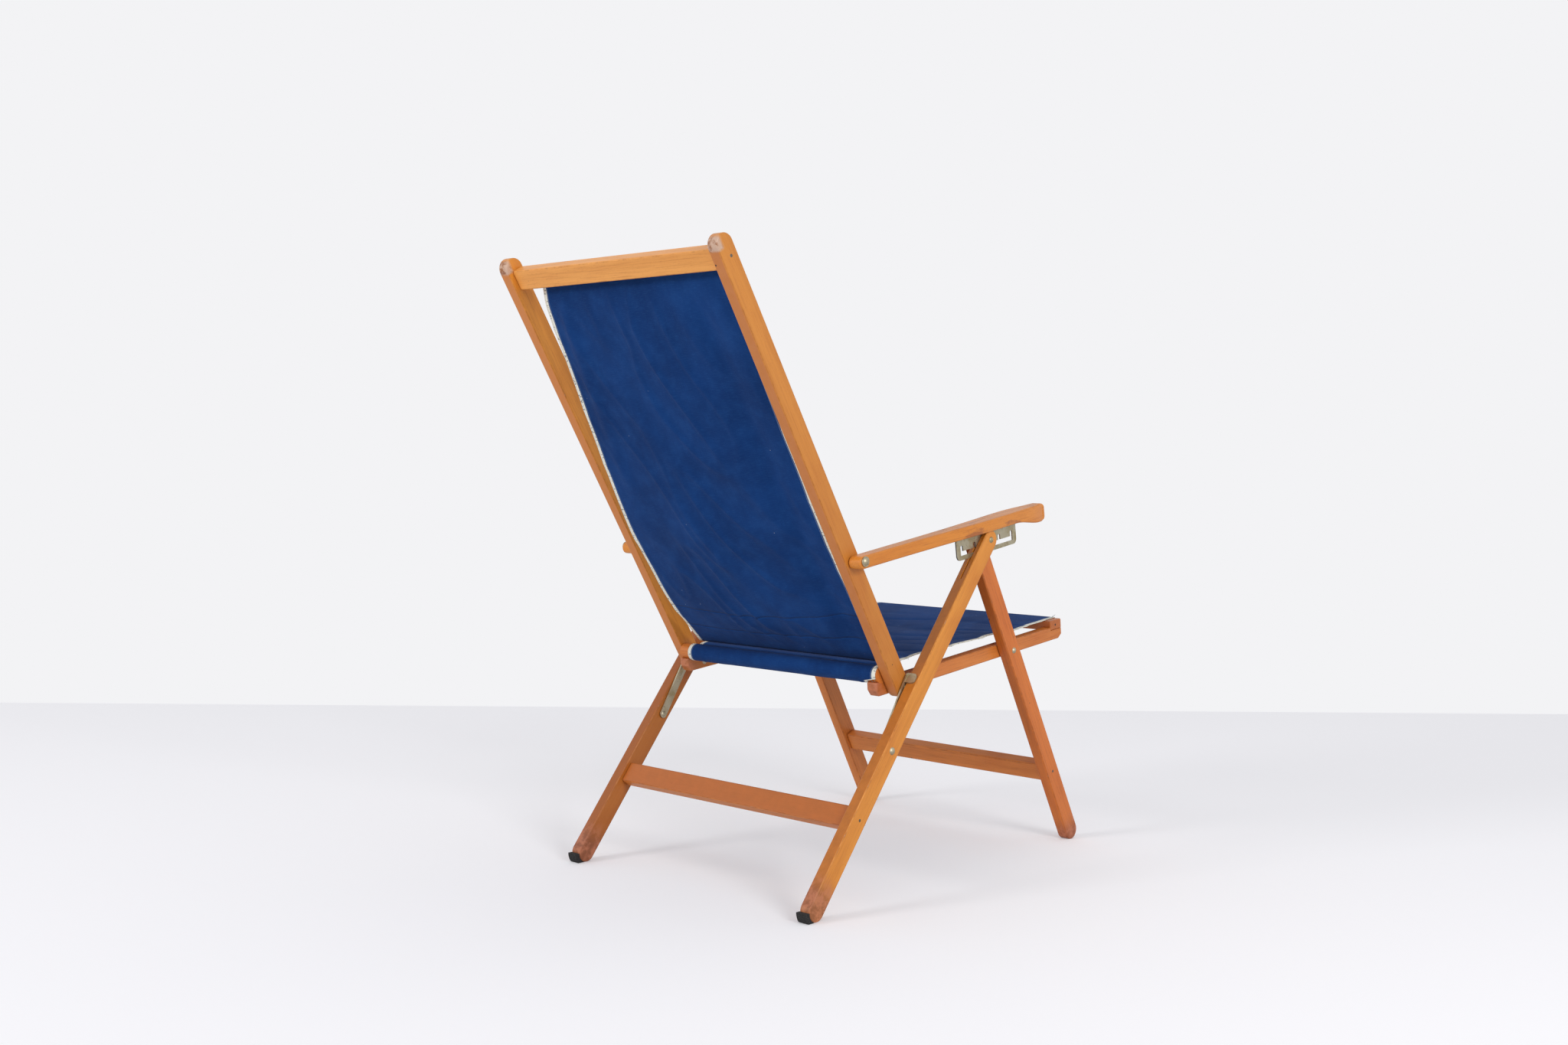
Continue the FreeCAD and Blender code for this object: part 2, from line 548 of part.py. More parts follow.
def armrest_shape():
    length, tail = size("arm_length"), size("arm_tail")
    above, below = size("arm_above"), size("arm_below")
    inner, outer = place("arm_inner"), place("arm_outer")
    nose, drop = size("nose_length"), size("nose_drop")
    tail_round = (above + below) / 2
    nose_round = tail_round + drop / 2

    def spot(forward, up):
        return FreeCAD.Vector(0, forward, up)

    grip = Part.BSplineCurve()
    grip.interpolate(
        Points=[spot(length - nose, -below), spot(length - nose_round, -below - drop)],
        InitialTangent=spot(1, 0), FinalTangent=spot(1, 0))
    side_wire = Part.Wire([
        Part.LineSegment(spot(tail_round - tail, -below), spot(length - nose, -below)).toShape(),
        grip.toShape(),
        Part.Arc(spot(length - nose_round, -below - drop), spot(length, above - nose_round),
                 spot(length - nose_round, above)).toShape(),
        Part.LineSegment(spot(length - nose_round, above), spot(tail_round - tail, above)).toShape(),
        Part.Arc(spot(tail_round - tail, above), spot(-tail, above - tail_round),
                 spot(tail_round - tail, -below)).toShape()])
    wide = 2 * place("arm_outer")
    block = Part.Face(side_wire).extrude(FreeCAD.Vector(wide, 0, 0))
    swell_in, swell_out = size("arm_bulge_in"), size("arm_bulge_out")
    outer_side = [
        (outer - 1, -tail - 1, 0), (outer, length * 0.2, 0), (outer + swell_out * 0.45, length * 0.42, 0),
        (outer + swell_out, length * 0.65, 0), (outer + swell_out * 0.8, length * 0.8, 0),
        (outer + swell_out * 0.3, length * 0.93, 0), (outer - 2, length - 12, 0)]
    inner_side = [
        (inner + 4, length - 12, 0), (inner + 1, length * 0.93, 0), (inner - swell_in * 0.8, length * 0.85, 0),
        (inner - swell_in, length * 0.76, 0), (inner - swell_in * 0.4, length * 0.6, 0),
        (inner, length * 0.42, 0), (inner, length * 0.2, 0), (inner, -tail - 1, 0)]
    edges = [
        smooth_side(outer_side),
        Part.Arc(FreeCAD.Vector(*outer_side[-1]), FreeCAD.Vector((inner + outer) / 2, length + 1, 0),
                 FreeCAD.Vector(*inner_side[0])).toShape(),
        smooth_side(inner_side),
        Part.LineSegment(FreeCAD.Vector(*inner_side[-1]), FreeCAD.Vector(*outer_side[0])).toShape()]
    plan = Part.Face(Part.Wire(edges))
    plan.translate(FreeCAD.Vector(0, 0, -below * 4))
    board = block.common(plan.extrude(FreeCAD.Vector(0, 0, below * 8)))
    board = board.removeSplitter()
    rims = [e for e in board.Edges if e.BoundBox.YLength > 1 or e.BoundBox.ZLength > 1]
    return board.makeFillet(size("arm_edge_round"), rims)


arm_angle = math.radians(size("arm_slope"))
pin_from_arm = FreeCAD.Vector(0, place("pin_y") - place("arm_y"), place("pin_z") - place("arm_z"))
# The top pin in the armrest's own frame: forward of the bolt, and above it.
pin_ahead = -pin_from_arm.y * math.cos(arm_angle) + pin_from_arm.z * math.sin(arm_angle)
pin_over = pin_from_arm.y * math.sin(arm_angle) + pin_from_arm.z * math.cos(arm_angle)
plate_back = pin_ahead - size("plate_length") / 2
plate_low = pin_over - size("plate_below_pin")
plate_top = -size("arm_below") + size("rebate_depth") + size("plate_sink")
arm_turn = FreeCAD.Placement(
    FreeCAD.Vector(0, place("arm_y"), place("arm_z")),
    FreeCAD.Rotation(FreeCAD.Vector(1, 0, 0), -size("arm_slope")))


def to_arm(shape):
    """Put a shape drawn in the armrest's frame in its place on the chair."""
    flipped = shape.mirror(FreeCAD.Vector(0, 0, 0), FreeCAD.Vector(0, 1, 0))
    flipped.Placement = arm_turn.multiply(flipped.Placement)
    return flipped


def arm_cuts():
    """The recess over the leg tops, the plate's slot and the bolt hole."""
    leg_room = size("notch_pitch") * 2 + place("timber_half") + size("rebate_room")
    recess = Part.makeBox(
        size("half_width") + size("rebate_side") - (place("arm_inner") - 20), 2 * leg_room,
        size("rebate_depth") + 30)
    recess.translate(FreeCAD.Vector(
        place("arm_inner") - 20, pin_ahead - leg_room, -size("arm_below") - 30))
    slot = Part.makeBox(size("plate_thick"), size("plate_length"), size("plate_sink") + 30)
    slot.translate(FreeCAD.Vector(
        place("kerf_middle") - size("plate_thick") / 2, plate_back, plate_top - size("plate_sink") - 30))
    bolt = Part.makeCylinder(
        place("bolt_hole"), 100, FreeCAD.Vector(place("arm_inner") - 20, 0, 0), FreeCAD.Vector(1, 0, 0))
    return recess.fuse([slot, bolt])


armrest = doc.addObject("Part::Feature", "armrest_left")
armrest.Shape = to_arm(armrest_shape().cut(arm_cuts()))
finish_piece("armrest_left", armrest)
mirrored("armrest_right", armrest)


# Notched plate: stamped steel, with a channel and a row of notches for the top pin.
def plate_shape():
    thick, length = size("plate_thick"), size("plate_length")
    corner, wide, deep = size("plate_corner"), size("notch_wide"), size("notch_deep")
    high = plate_top - plate_low
    sheet = Part.makeBox(thick, length, high)
    low_corners = [e for e in sheet.Edges if e.BoundBox.ZMax < 0.1 and e.BoundBox.XLength > thick / 2]
    sheet = sheet.makeFillet(corner, low_corners)
    notch_top = pin_over + size("pin_radius") + 0.4 - plate_low
    channel_top = notch_top - deep
    reach = 2 * size("notch_pitch") + wide / 2
    channel = Part.makeBox(thick, 2 * reach, size("channel_high"))
    channel.translate(FreeCAD.Vector(0, length / 2 - reach, channel_top - size("channel_high")))
    cuts = [channel]
    for step in range(-2, 3):
        middle = length / 2 + step * size("notch_pitch")
        notch = Part.makeBox(thick, wide, deep - wide / 2 + 1)
        notch.translate(FreeCAD.Vector(0, middle - wide / 2, channel_top - 1))
        crown = Part.makeCylinder(
            wide / 2, thick, FreeCAD.Vector(0, middle, notch_top - wide / 2), FreeCAD.Vector(1, 0, 0))
        cuts += [notch, crown]
    sheet = sheet.cut(cuts)
    sheet.translate(FreeCAD.Vector(place("kerf_middle") - thick / 2, plate_back, plate_low))
    return sheet


plate = doc.addObject("Part::Feature", "notch_plate_left")
plate.Shape = to_arm(plate_shape())
finish_piece("notch_plate_left", plate)
mirrored("notch_plate_right", plate)


# Steel link: a flat strap with its top bent outwards into a stop on the rear leg.
def link_frame():
    """The link's own frame: origin at its bolt, Z up towards the back pivot."""
    run = place("back_y") - place("link_y")
    rise = place("back_z") - place("link_z")
    turn = math.degrees(math.atan2(-run, rise))
    return FreeCAD.Placement(
        FreeCAD.Vector(0, place("link_y"), place("link_z")),
        FreeCAD.Rotation(FreeCAD.Vector(1, 0, 0), turn))


link_length = math.hypot(place("back_y") - place("link_y"), place("back_z") - place("link_z"))
link_inner = place("rear_inner") - size("link_clear") - size("link_thick")
leg_turn = FreeCAD.Placement(
    FreeCAD.Vector(0, place("link_y"), place("link_z")),
    FreeCAD.Rotation(FreeCAD.Vector(1, 0, 0), place("rear_lean")))


def bar_face(low, high, radius, x):
    """A face with half-round ends along Z, in the plane X = x."""
    v = FreeCAD.Vector
    wire = Part.Wire([
        Part.LineSegment(v(x, -radius, high), v(x, -radius, low)).toShape(),
        Part.Arc(v(x, -radius, low), v(x, 0, low - radius), v(x, radius, low)).toShape(),
        Part.LineSegment(v(x, radius, low), v(x, radius, high)).toShape(),
        Part.Arc(v(x, radius, high), v(x, 0, high + radius), v(x, -radius, high)).toShape()])
    return Part.Face(wire)


def link_shape():
    thick, wide = size("link_thick"), size("link_wide")
    strap = bar_face(0, link_length + size("link_past_pivot") - wide / 2, wide / 2, link_inner)
    strap = strap.extrude(FreeCAD.Vector(thick, 0, 0))
    for up, radius in ((0, place("bolt_hole")), (link_length, size("rivet_radius") + size("fit_gap"))):
        hole = Part.makeCylinder(
            radius, 4 * thick, FreeCAD.Vector(link_inner - thick, 0, up), FreeCAD.Vector(1, 0, 0))
        strap = strap.cut(hole)
    strap.Placement = link_frame()
    tab_reach = size("half_width") - size("tab_short") - link_inner
    tab = Part.makeBox(tab_reach, thick, size("tab_long"))
    outer = [e for e in tab.Edges if e.BoundBox.XMin > tab_reach - 0.1 and e.BoundBox.YLength > thick / 2]
    tab = tab.makeFillet(size("tab_long") * 0.3, outer)
    tab.translate(FreeCAD.Vector(
        link_inner, place("timber_half") + size("tab_clear"), link_length + size("tab_up")))
    tab.Placement = leg_turn.multiply(tab.Placement)
    return strap.fuse(tab).removeSplitter()


link = doc.addObject("Part::Feature", "link_left")
link.Shape = link_shape()
finish_piece("link_left", link)
mirrored("link_right", link)


# Fasteners: pins, bolts and rivets turned about X, each with a shank and domed heads.
def dome_edge(radius, high, x, facing):
    """The curve of a shallow dome from its rim at x to its tip on the axis."""
    ball = (radius ** 2 + high ** 2) / (2 * high)
    half_turn = math.asin(radius / ball) / 2
    middle = FreeCAD.Vector(x + facing * (high - ball + ball * math.cos(half_turn)), ball * math.sin(half_turn), 0)
    return Part.Arc(FreeCAD.Vector(x, radius, 0), middle, FreeCAD.Vector(x + facing * high, 0, 0)).toShape()


def line_edge(start, end):
    return Part.LineSegment(FreeCAD.Vector(*start, 0), FreeCAD.Vector(*end, 0)).toShape()


def fastener(name, radius, inner_end, outer_end, inner_head, outer_head, back, up):
    """A shank from one X to another with a dome, given as (radius, height), or a plain end."""
    edges = [line_edge((inner_end, radius), (outer_end, radius))]
    tips = []
    for x, head_size, facing in ((inner_end, inner_head, -1), (outer_end, outer_head, 1)):
        if head_size:
            rim, high = head_size
            edges += [line_edge((x, radius), (x, rim)), dome_edge(rim, high, x, facing)]
            tips.append(x + facing * high)
        else:
            edges.append(line_edge((x, radius), (x, 0)))
            tips.append(x)
    edges.append(line_edge((tips[0], 0), (tips[1], 0)))
    outline = Part.Face(Part.Wire(Part.__sortEdges__(edges)))
    item = doc.addObject("Part::Feature", name)
    item.Shape = outline.revolve(FreeCAD.Vector(0, 0, 0), FreeCAD.Vector(1, 0, 0), 360)
    item.Placement = FreeCAD.Placement(FreeCAD.Vector(0, back, up), FreeCAD.Rotation())
    return item


def fastener_pair(label, name, *shape):
    """A fastener on the left and its twin on the right, as one node."""
    return grouped(label, mirror_pair(name, fastener(name, *shape)))


leg_outer, leg_inner = size("half_width"), place("rear_inner")
front_outer, front_inner = place("front_outer"), place("front_inner")
rail_outer, rail_inner = place("rail_outer"), place("rail_inner")
bolt_r, pin_r, head = size("bolt_radius"), size("pin_radius"), size("head_high")
low_head = head / 2
top_head, link_head = size("top_head_radius"), size("link_head_radius")
seat_head, arm_head = size("seat_head_radius"), size("arm_head_radius")
rivet_head = size("rivet_head_radius")
arm_face = place("arm_outer")
washer_face = arm_face + size("washer_thick")
arm_gap = size("board_gap")

fastener_pair("top_pin_heads", "TopPinOuter", pin_r, place("kerf_outer"), leg_outer,
              None, (top_head, head), pin_y, pin_z)
fastener_pair("top_pins", "TopPinInner", pin_r, front_inner, place("kerf_inner"),
              (top_head, low_head), None, pin_y, pin_z)
fastener_pair("link_bolts", "LinkBolt", bolt_r, link_inner, leg_outer,
              (rivet_head, low_head), (link_head, head), place("link_y"), place("link_z"))
fastener_pair("seat_pivot_bolts", "SeatBolt", bolt_r, rail_inner, front_outer,
              (seat_head, head), (seat_head, head), place("seat_y"), place("seat_z"))
fastener_pair("back_pivot_pins", "BackPin", bolt_r, rail_inner, front_outer - 0.4,
              (seat_head, head), None, place("back_y"), place("back_z"))
fastener_pair("link_rivets", "LinkRivet", size("rivet_radius"), link_inner, leg_inner - 0.3,
              (rivet_head, low_head), None, place("back_y"), place("back_z"))
fastener_pair("armrest_bolts", "ArmBolt", bolt_r, place("arm_inner") - arm_gap / 2, washer_face,
              None, (arm_head, head), place("arm_y"), place("arm_z"))
fastener_pair("armrest_bolt_ends", "ArmBoltEnd", bolt_r, front_inner, front_outer - 0.1,
              (arm_head, low_head), None, place("arm_y"), place("arm_z"))


def washer_shape():
    x_way = FreeCAD.Vector(1, 0, 0)
    disc = Part.makeCylinder(size("washer_radius"), size("washer_thick"), FreeCAD.Vector(arm_face, 0, 0), x_way)
    return disc.cut(Part.makeCylinder(place("bolt_hole"), 10, FreeCAD.Vector(arm_face - 5, 0, 0), x_way))


washer = doc.addObject("Part::Feature", "ArmWasher")
washer.Shape = washer_shape()
washer.Placement = FreeCAD.Placement(FreeCAD.Vector(0, place("arm_y"), place("arm_z")), FreeCAD.Rotation())
grouped("armrest_washers", mirror_pair("ArmWasher", washer))


# Canvas: one strip round the seat boards and one for the back, sewn together over the rear bar.
def strip(path, thick):
    """A closed sheet across the chair that follows a path of points in the side view."""
    half = size("canvas_half")
    points = [FreeCAD.Vector(-half, y, z) for y, z in path]
    normals = []
    for i, point in enumerate(points):
        before, after = points[max(i - 1, 0)], points[min(i + 1, len(points) - 1)]
        along = (after - before).normalize()
        normals.append(FreeCAD.Vector(0, -along.z, along.y))
    far = [p + n * thick for p, n in zip(points, normals)]
    near_edge = Part.BSplineCurve()
    near_edge.interpolate(points)
    far_edge = Part.BSplineCurve()
    far_edge.interpolate(far)
    wire = Part.Wire([
        near_edge.toShape(), Part.LineSegment(points[-1], far[-1]).toShape(),
        far_edge.toShape(), Part.LineSegment(far[0], points[0]).toShape()])
    return Part.Face(wire).extrude(FreeCAD.Vector(2 * half, 0, 0))


seat_place = FreeCAD.Placement(
    FreeCAD.Vector(0, place("back_y"), place("back_z")),
    FreeCAD.Rotation(FreeCAD.Vector(1, 0, 0), -size("seat_slope")))
back_place = FreeCAD.Placement(
    FreeCAD.Vector(0, place("back_y"), place("back_z")),
    FreeCAD.Rotation(FreeCAD.Vector(1, 0, 0), -size("back_lean")))


def seat_canvas_shape():
    """The flat seat, its sleeve round the rear bar cut away over the rails, and its front hem."""
    half, thick, gap = size("canvas_half"), size("canvas_thick"), size("canvas_gap")
    v = FreeCAD.Vector
    bar_back, bar_up = size("bar_behind"), place("bar_up")
    inside = size("bar_radius") + gap
    outside = inside + thick
    board_top = place("board_low") + size("front_board_thick") + gap
    board_back = -size("rail_front") + size("front_board_wide")
    front = -size("rail_front") - gap
    sleeve = Part.makeCylinder(outside, 2 * half, v(-half, bar_back, bar_up), v(1, 0, 0))
    low = bar_up + inside
    flat = Part.makePolygon([
        v(-half, bar_back, low), v(-half, board_back, board_top), v(-half, front, board_top),
        v(-half, front, board_top - 12), v(-half, front - thick, board_top - 12),
        v(-half, front - thick, board_top + thick), v(-half, board_back, board_top + thick),
        v(-half, bar_back, low + thick), v(-half, bar_back, low)])
    flat = Part.Face(flat).extrude(v(2 * half, 0, 0))
    hollow = Part.makeCylinder(inside, 2 * half + 2, v(-half - 1, bar_back, bar_up), v(1, 0, 0))
    shape = sleeve.fuse(flat).cut(hollow)
    for edge in (rail_inner - gap, -rail_outer - gap):
        shape = shape.cut(Part.makeBox(
            rail_outer - rail_inner + 2 * gap, 2 * outside, 2 * outside,
            v(edge, bar_back - outside, size("rail_high") / 2 + gap - 2 * outside)))
    shape = shape.removeSplitter()
    shape.Placement = seat_place.multiply(shape.Placement)
    return shape


seat_canvas = doc.addObject("Part::Feature", "seat_canvas")
seat_canvas.Shape = seat_canvas_shape()
finish_piece("seat_canvas", seat_canvas)

# The back canvas in the stile's frame: nailed to the front of the top rail, then a belly
# behind the stiles. Each pair is the part of the way down, and the part of the full belly.
BELLY = [(0.0, -0.4), (0.012, -0.39), (0.05, -0.13), (0.1, 0.0), (0.3, 0.42), (0.45, 0.72),
         (0.61, 0.97), (0.69, 0.87), (0.75, 0.79), (0.8, 0.74), (0.85, 0.62), (0.9, 0.4), (0.95, 0.12),
         (0.99, -0.1), (1.02, -0.3)]
rail_front_face = -size("top_rail_ahead") - size("timber_thick") / 2
canvas_top = place("top_rail_top") - size("top_rail_high")
split_up = size("canvas_split")
seam_up = size("canvas_seam")


def back_path(start, end, count):
    """Points down the belly between two heights along the stile."""
    curve = Part.BSplineCurve()
    run = canvas_top - seam_up
    curve.interpolate([FreeCAD.Vector(0, size("back_sag") * d, canvas_top - f * run) for f, d in BELLY])
    path = []
    for i in range(count):
        up = start + (end - start) * i / (count - 1)
        level = Part.Plane(FreeCAD.Vector(0, 0, up), FreeCAD.Vector(0, 0, 1))
        hit = curve.intersect(level)[0][0]
        path.append((hit.Y, up))
    return path


def back_canvas_shape():
    """The belly, with its hem flat on the front of the top rail."""
    half, thick = size("canvas_half"), size("canvas_thick")
    belly = strip(back_path(canvas_top, split_up, 14), -thick)
    hem = Part.makeBox(
        2 * half, thick, size("top_rail_high") - 4,
        FreeCAD.Vector(-half, rail_front_face - thick, canvas_top - 0.5))
    return belly.fuse(hem).removeSplitter()


back_canvas = doc.addObject("Part::Feature", "back_canvas")
back_canvas.Shape = back_canvas_shape()
back_canvas.Placement = back_place
finish_piece("back_canvas", back_canvas)
lap = doc.addObject("Part::Feature", "back_canvas_lap")
lap.Shape = strip(back_path(split_up - size("canvas_gap"), seam_up, 6), -size("canvas_thick"))
lap.Placement = back_place
finish_piece("back_canvas_lap", lap)


doc.recompute()
os.makedirs("parts", exist_ok=True)
for item in doc.Objects:
    if any(word in item.State for word in ("Invalid", "Error")):
        raise RuntimeError("%s failed: %s" % (item.Label, item.State))
for item in pieces:
    if item.Shape.isNull() or not item.Shape.isValid():
        raise RuntimeError("bad shape: " + item.Label)
for item in pieces:
    item.Shape.exportStep("parts/%s.step" % item.Label)
    box = item.Shape.BoundBox
    print("%-20s %d %10.1f  x %.1f..%.1f  y %.1f..%.1f  z %.1f..%.1f" % (
        item.Label, len(item.Shape.Solids), item.Shape.Volume, box.XMin, box.XMax,
        box.YMin, box.YMax, box.ZMin, box.ZMax))
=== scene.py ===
import bpy
import math
from mathutils import Matrix, Vector, noise


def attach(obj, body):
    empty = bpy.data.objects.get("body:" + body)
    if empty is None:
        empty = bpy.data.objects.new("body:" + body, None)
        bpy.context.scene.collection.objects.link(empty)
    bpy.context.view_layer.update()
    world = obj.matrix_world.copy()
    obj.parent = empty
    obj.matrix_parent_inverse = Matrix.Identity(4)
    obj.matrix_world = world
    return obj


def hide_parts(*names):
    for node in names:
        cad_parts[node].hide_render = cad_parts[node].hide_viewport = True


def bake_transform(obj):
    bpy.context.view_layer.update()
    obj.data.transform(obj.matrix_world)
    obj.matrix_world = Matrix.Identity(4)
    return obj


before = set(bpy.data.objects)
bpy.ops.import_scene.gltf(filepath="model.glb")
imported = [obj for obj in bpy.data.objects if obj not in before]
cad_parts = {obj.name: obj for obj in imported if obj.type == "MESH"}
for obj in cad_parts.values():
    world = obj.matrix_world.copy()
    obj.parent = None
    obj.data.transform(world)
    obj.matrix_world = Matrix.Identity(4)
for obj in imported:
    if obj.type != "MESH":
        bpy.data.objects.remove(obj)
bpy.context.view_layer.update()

scene = bpy.context.scene

# Camera: behind the chair and to its right, about eye height of a seated person, looking
# slightly down. It stands where the two sides of the frame line up as in the photograph.
camera_place = Vector((-1.9595, 2.1807, 0.7233))
camera_turn, camera_dip, camera_roll = -0.8241, 0.0407, 0.0074
focal_pixels, image_wide = 2150.75, 2048
ahead = Vector((math.cos(camera_dip) * math.cos(camera_turn),
                math.cos(camera_dip) * math.sin(camera_turn), -math.sin(camera_dip)))
level_right = ahead.cross(Vector((0, 0, 1))).normalized()
level_up = level_right.cross(ahead)
right = level_right * math.cos(camera_roll) + level_up * math.sin(camera_roll)
up = level_up * math.cos(camera_roll) - level_right * math.sin(camera_roll)
camera = bpy.data.objects.new("camera", bpy.data.cameras.new("camera"))
camera.data.sensor_width = 36
camera.data.lens = focal_pixels / image_wide * 36
camera.matrix_world = Matrix.Translation(camera_place) @ Matrix((right, up, -ahead)).transposed().to_4x4()
scene.collection.objects.link(camera)
scene.camera = camera

# Studio: a pale floor that ends a little way behind the chair, a plain pale room colour and
# two large soft lamps, one on each side, that throw two faint shadows.
scene.view_settings.view_transform = "Standard"


class Socket:
    """A node's output that can be used in arithmetic."""

    def __init__(self, tree, link):
        self.tree = tree
        self.link = link

    def math(self, operation, *others):
        node = self.tree.nodes.new("ShaderNodeMath")
        node.operation = operation
        for socket, value in zip(node.inputs, others):
            if isinstance(value, Socket):
                self.tree.links.new(value.link, socket)
            else:
                socket.default_value = value
        return Socket(self.tree, node.outputs[0])

    def __add__(self, other):
        return self.math("ADD", self, other)

    def __radd__(self, other):
        return self.math("ADD", other, self)

    def __sub__(self, other):
        return self.math("SUBTRACT", self, other)

    def __rsub__(self, other):
        return self.math("SUBTRACT", other, self)

    def __mul__(self, other):
        return self.math("MULTIPLY", self, other)

    def __rmul__(self, other):
        return self.math("MULTIPLY", other, self)

    def __truediv__(self, other):
        return self.math("DIVIDE", self, other)

    def __pow__(self, other):
        return self.math("POWER", self, other)

    def __abs__(self):
        return self.math("ABSOLUTE", self)

    def sin(self):
        return self.math("SINE", self)

    def least(self, other):
        return self.math("MINIMUM", self, other)


class Finish:
    """A material made of nodes."""

    def __init__(self, name, shader="ShaderNodeBsdfPrincipled"):
        self.material = bpy.data.materials.new(name)
        self.material.use_nodes = True
        self.tree = self.material.node_tree
        self.tree.nodes.clear()
        self.output = self.tree.nodes.new("ShaderNodeOutputMaterial")
        self.shader = self.tree.nodes.new(shader)
        self.tree.links.new(self.shader.outputs[0], self.output.inputs["Surface"])

    def node(self, kind, settings=None, sockets=None, output=0):
        """Any node: its settings first, then its sockets' values or links."""
        node = self.tree.nodes.new(kind)
        for name, value in (settings or {}).items():
            if name == "stops":
                self.set_stops(node.color_ramp, value)
            else:
                setattr(node, name, value)
        for name, value in (sockets or {}).items():
            self.feed(node.inputs[name], value)
        return Socket(self.tree, node.outputs[output])

    def set_stops(self, ramp, stops):
        while len(ramp.elements) < len(stops):
            ramp.elements.new(0.5)
        for element, (place, colour) in zip(ramp.elements, stops):
            element.position = place
            element.color = (*colour, 1) if len(colour) == 3 else colour

    def feed(self, socket, value):
        if isinstance(value, Socket):
            self.tree.links.new(value.link, socket)
        elif hasattr(socket.default_value, "__len__") and len(value) == 3 and len(socket.default_value) == 4:
            socket.default_value = (*value, 1)
        else:
            socket.default_value = value

    def set(self, **values):
        for name, value in values.items():
            self.feed(self.shader.inputs[name.replace("_", " ")], value)
        return self

    def noise(self, where, scale, detail=3, rough=0.55):
        return self.node("ShaderNodeTexNoise", {}, {
            "Vector": where, "Scale": scale, "Detail": detail, "Roughness": rough}, "Fac")

    def cells(self, where, scale):
        """The distance to the nearest of many scattered points."""
        return self.node("ShaderNodeTexVoronoi", {"feature": "F1"}, {
            "Vector": where, "Scale": scale}, "Distance")

    def step(self, value, low, high, to_low=0.0, to_high=1.0):
        """A smooth change from to_low to to_high while value goes from low to high."""
        return self.node("ShaderNodeMapRange", {"interpolation_type": "SMOOTHSTEP"}, {
            "Value": value, "From Min": low, "From Max": high, "To Min": to_low, "To Max": to_high})

    def mix(self, share, first, second):
        node = self.tree.nodes.new("ShaderNodeMix")
        node.data_type = "RGBA"
        self.feed(node.inputs[0], share)
        self.feed(node.inputs[6], first)
        self.feed(node.inputs[7], second)
        return Socket(self.tree, node.outputs[2])

    def bump(self, height, strength, distance):
        return self.node("ShaderNodeBump", {}, {"Height": height, "Strength": strength, "Distance": distance})


def shade(red, green, blue):
    """A colour as seen on screen (0 to 255), in the numbers that a shader takes."""
    return tuple(((c / 255 + 0.055) / 1.055) ** 2.4 if c > 10 else c / 255 / 12.92
                 for c in (red, green, blue))


floor_end, floor_long, floor_wide = 4.69, 16, 30
floor_middle = camera_place.xy + ahead.xy.normalized() * (floor_end - floor_long / 2)
bpy.ops.mesh.primitive_grid_add(size=1, x_subdivisions=2, y_subdivisions=2)
floor = bpy.context.object
floor.name = "studio_floor"
floor.scale = (floor_long, floor_wide, 1)
floor.location = (*floor_middle, -0.0006)
floor.rotation_euler = (0, 0, camera_turn)
floor_finish = Finish("studio_floor_paint").set(Base_Color=(0.80, 0.80, 0.812), Roughness=0.9)
seen_floor = floor_finish.tree.nodes.new("ShaderNodeBsdfPrincipled")
floor_finish.feed(seen_floor.inputs["Base Color"], (0.80, 0.795, 0.81))
floor_finish.feed(seen_floor.inputs["Roughness"], 0.95)
floor_finish.feed(seen_floor.inputs["Emission Color"], (1.0, 0.985, 1.0))
floor_finish.feed(seen_floor.inputs["Emission Strength"], 0.20)
to_camera = floor_finish.node("ShaderNodeLightPath")
pick = floor_finish.tree.nodes.new("ShaderNodeMixShader")
floor_finish.feed(pick.inputs[0], to_camera)
floor_finish.tree.links.new(floor_finish.shader.outputs[0], pick.inputs[1])
floor_finish.tree.links.new(seen_floor.outputs[0], pick.inputs[2])
floor_finish.tree.links.new(pick.outputs[0], floor_finish.output.inputs["Surface"])
floor.data.materials.append(floor_finish.material)

room = bpy.data.worlds.new("studio_room")
scene.world = room
room.use_nodes = True
room_nodes = room.node_tree
backdrop = room_nodes.nodes["Background"]
backdrop.inputs["Color"].default_value = (0.95, 0.96, 1.0, 1)
backdrop.inputs["Strength"].default_value = 0.62
seen = room_nodes.nodes.new("ShaderNodeBackground")
seen.inputs["Color"].default_value = (*shade(243, 243, 245), 1)
rays = room_nodes.nodes.new("ShaderNodeLightPath")
either = room_nodes.nodes.new("ShaderNodeMath")
either.operation = "MAXIMUM"
room_nodes.links.new(rays.outputs["Is Camera Ray"], either.inputs[0])
room_nodes.links.new(rays.outputs["Is Glossy Ray"], either.inputs[1])
choose = room_nodes.nodes.new("ShaderNodeMixShader")
room_nodes.links.new(either.outputs[0], choose.inputs[0])
room_nodes.links.new(backdrop.outputs[0], choose.inputs[1])
room_nodes.links.new(seen.outputs[0], choose.inputs[2])
room_nodes.links.new(choose.outputs[0], room_nodes.nodes["World Output"].inputs["Surface"])


def soft_lamp(name, place, aim, size, power):
    lamp = bpy.data.objects.new(name, bpy.data.lights.new(name, "AREA"))
    lamp.data.shape = "DISK"
    lamp.data.size = size
    lamp.data.energy = power
    lamp.location = place
    lamp.rotation_euler = (Vector(aim) - Vector(place)).to_track_quat("-Z", "Y").to_euler()
    scene.collection.objects.link(lamp)


seat_height, lamp_width = 0.45, 1.9
soft_lamp("lamp_right", (-4.9, 1.2, 2.5), (0, 0, seat_height), lamp_width, 106)
soft_lamp("lamp_left", (1.9, 5.9, 2.5), (0, 0, seat_height), lamp_width, 128)

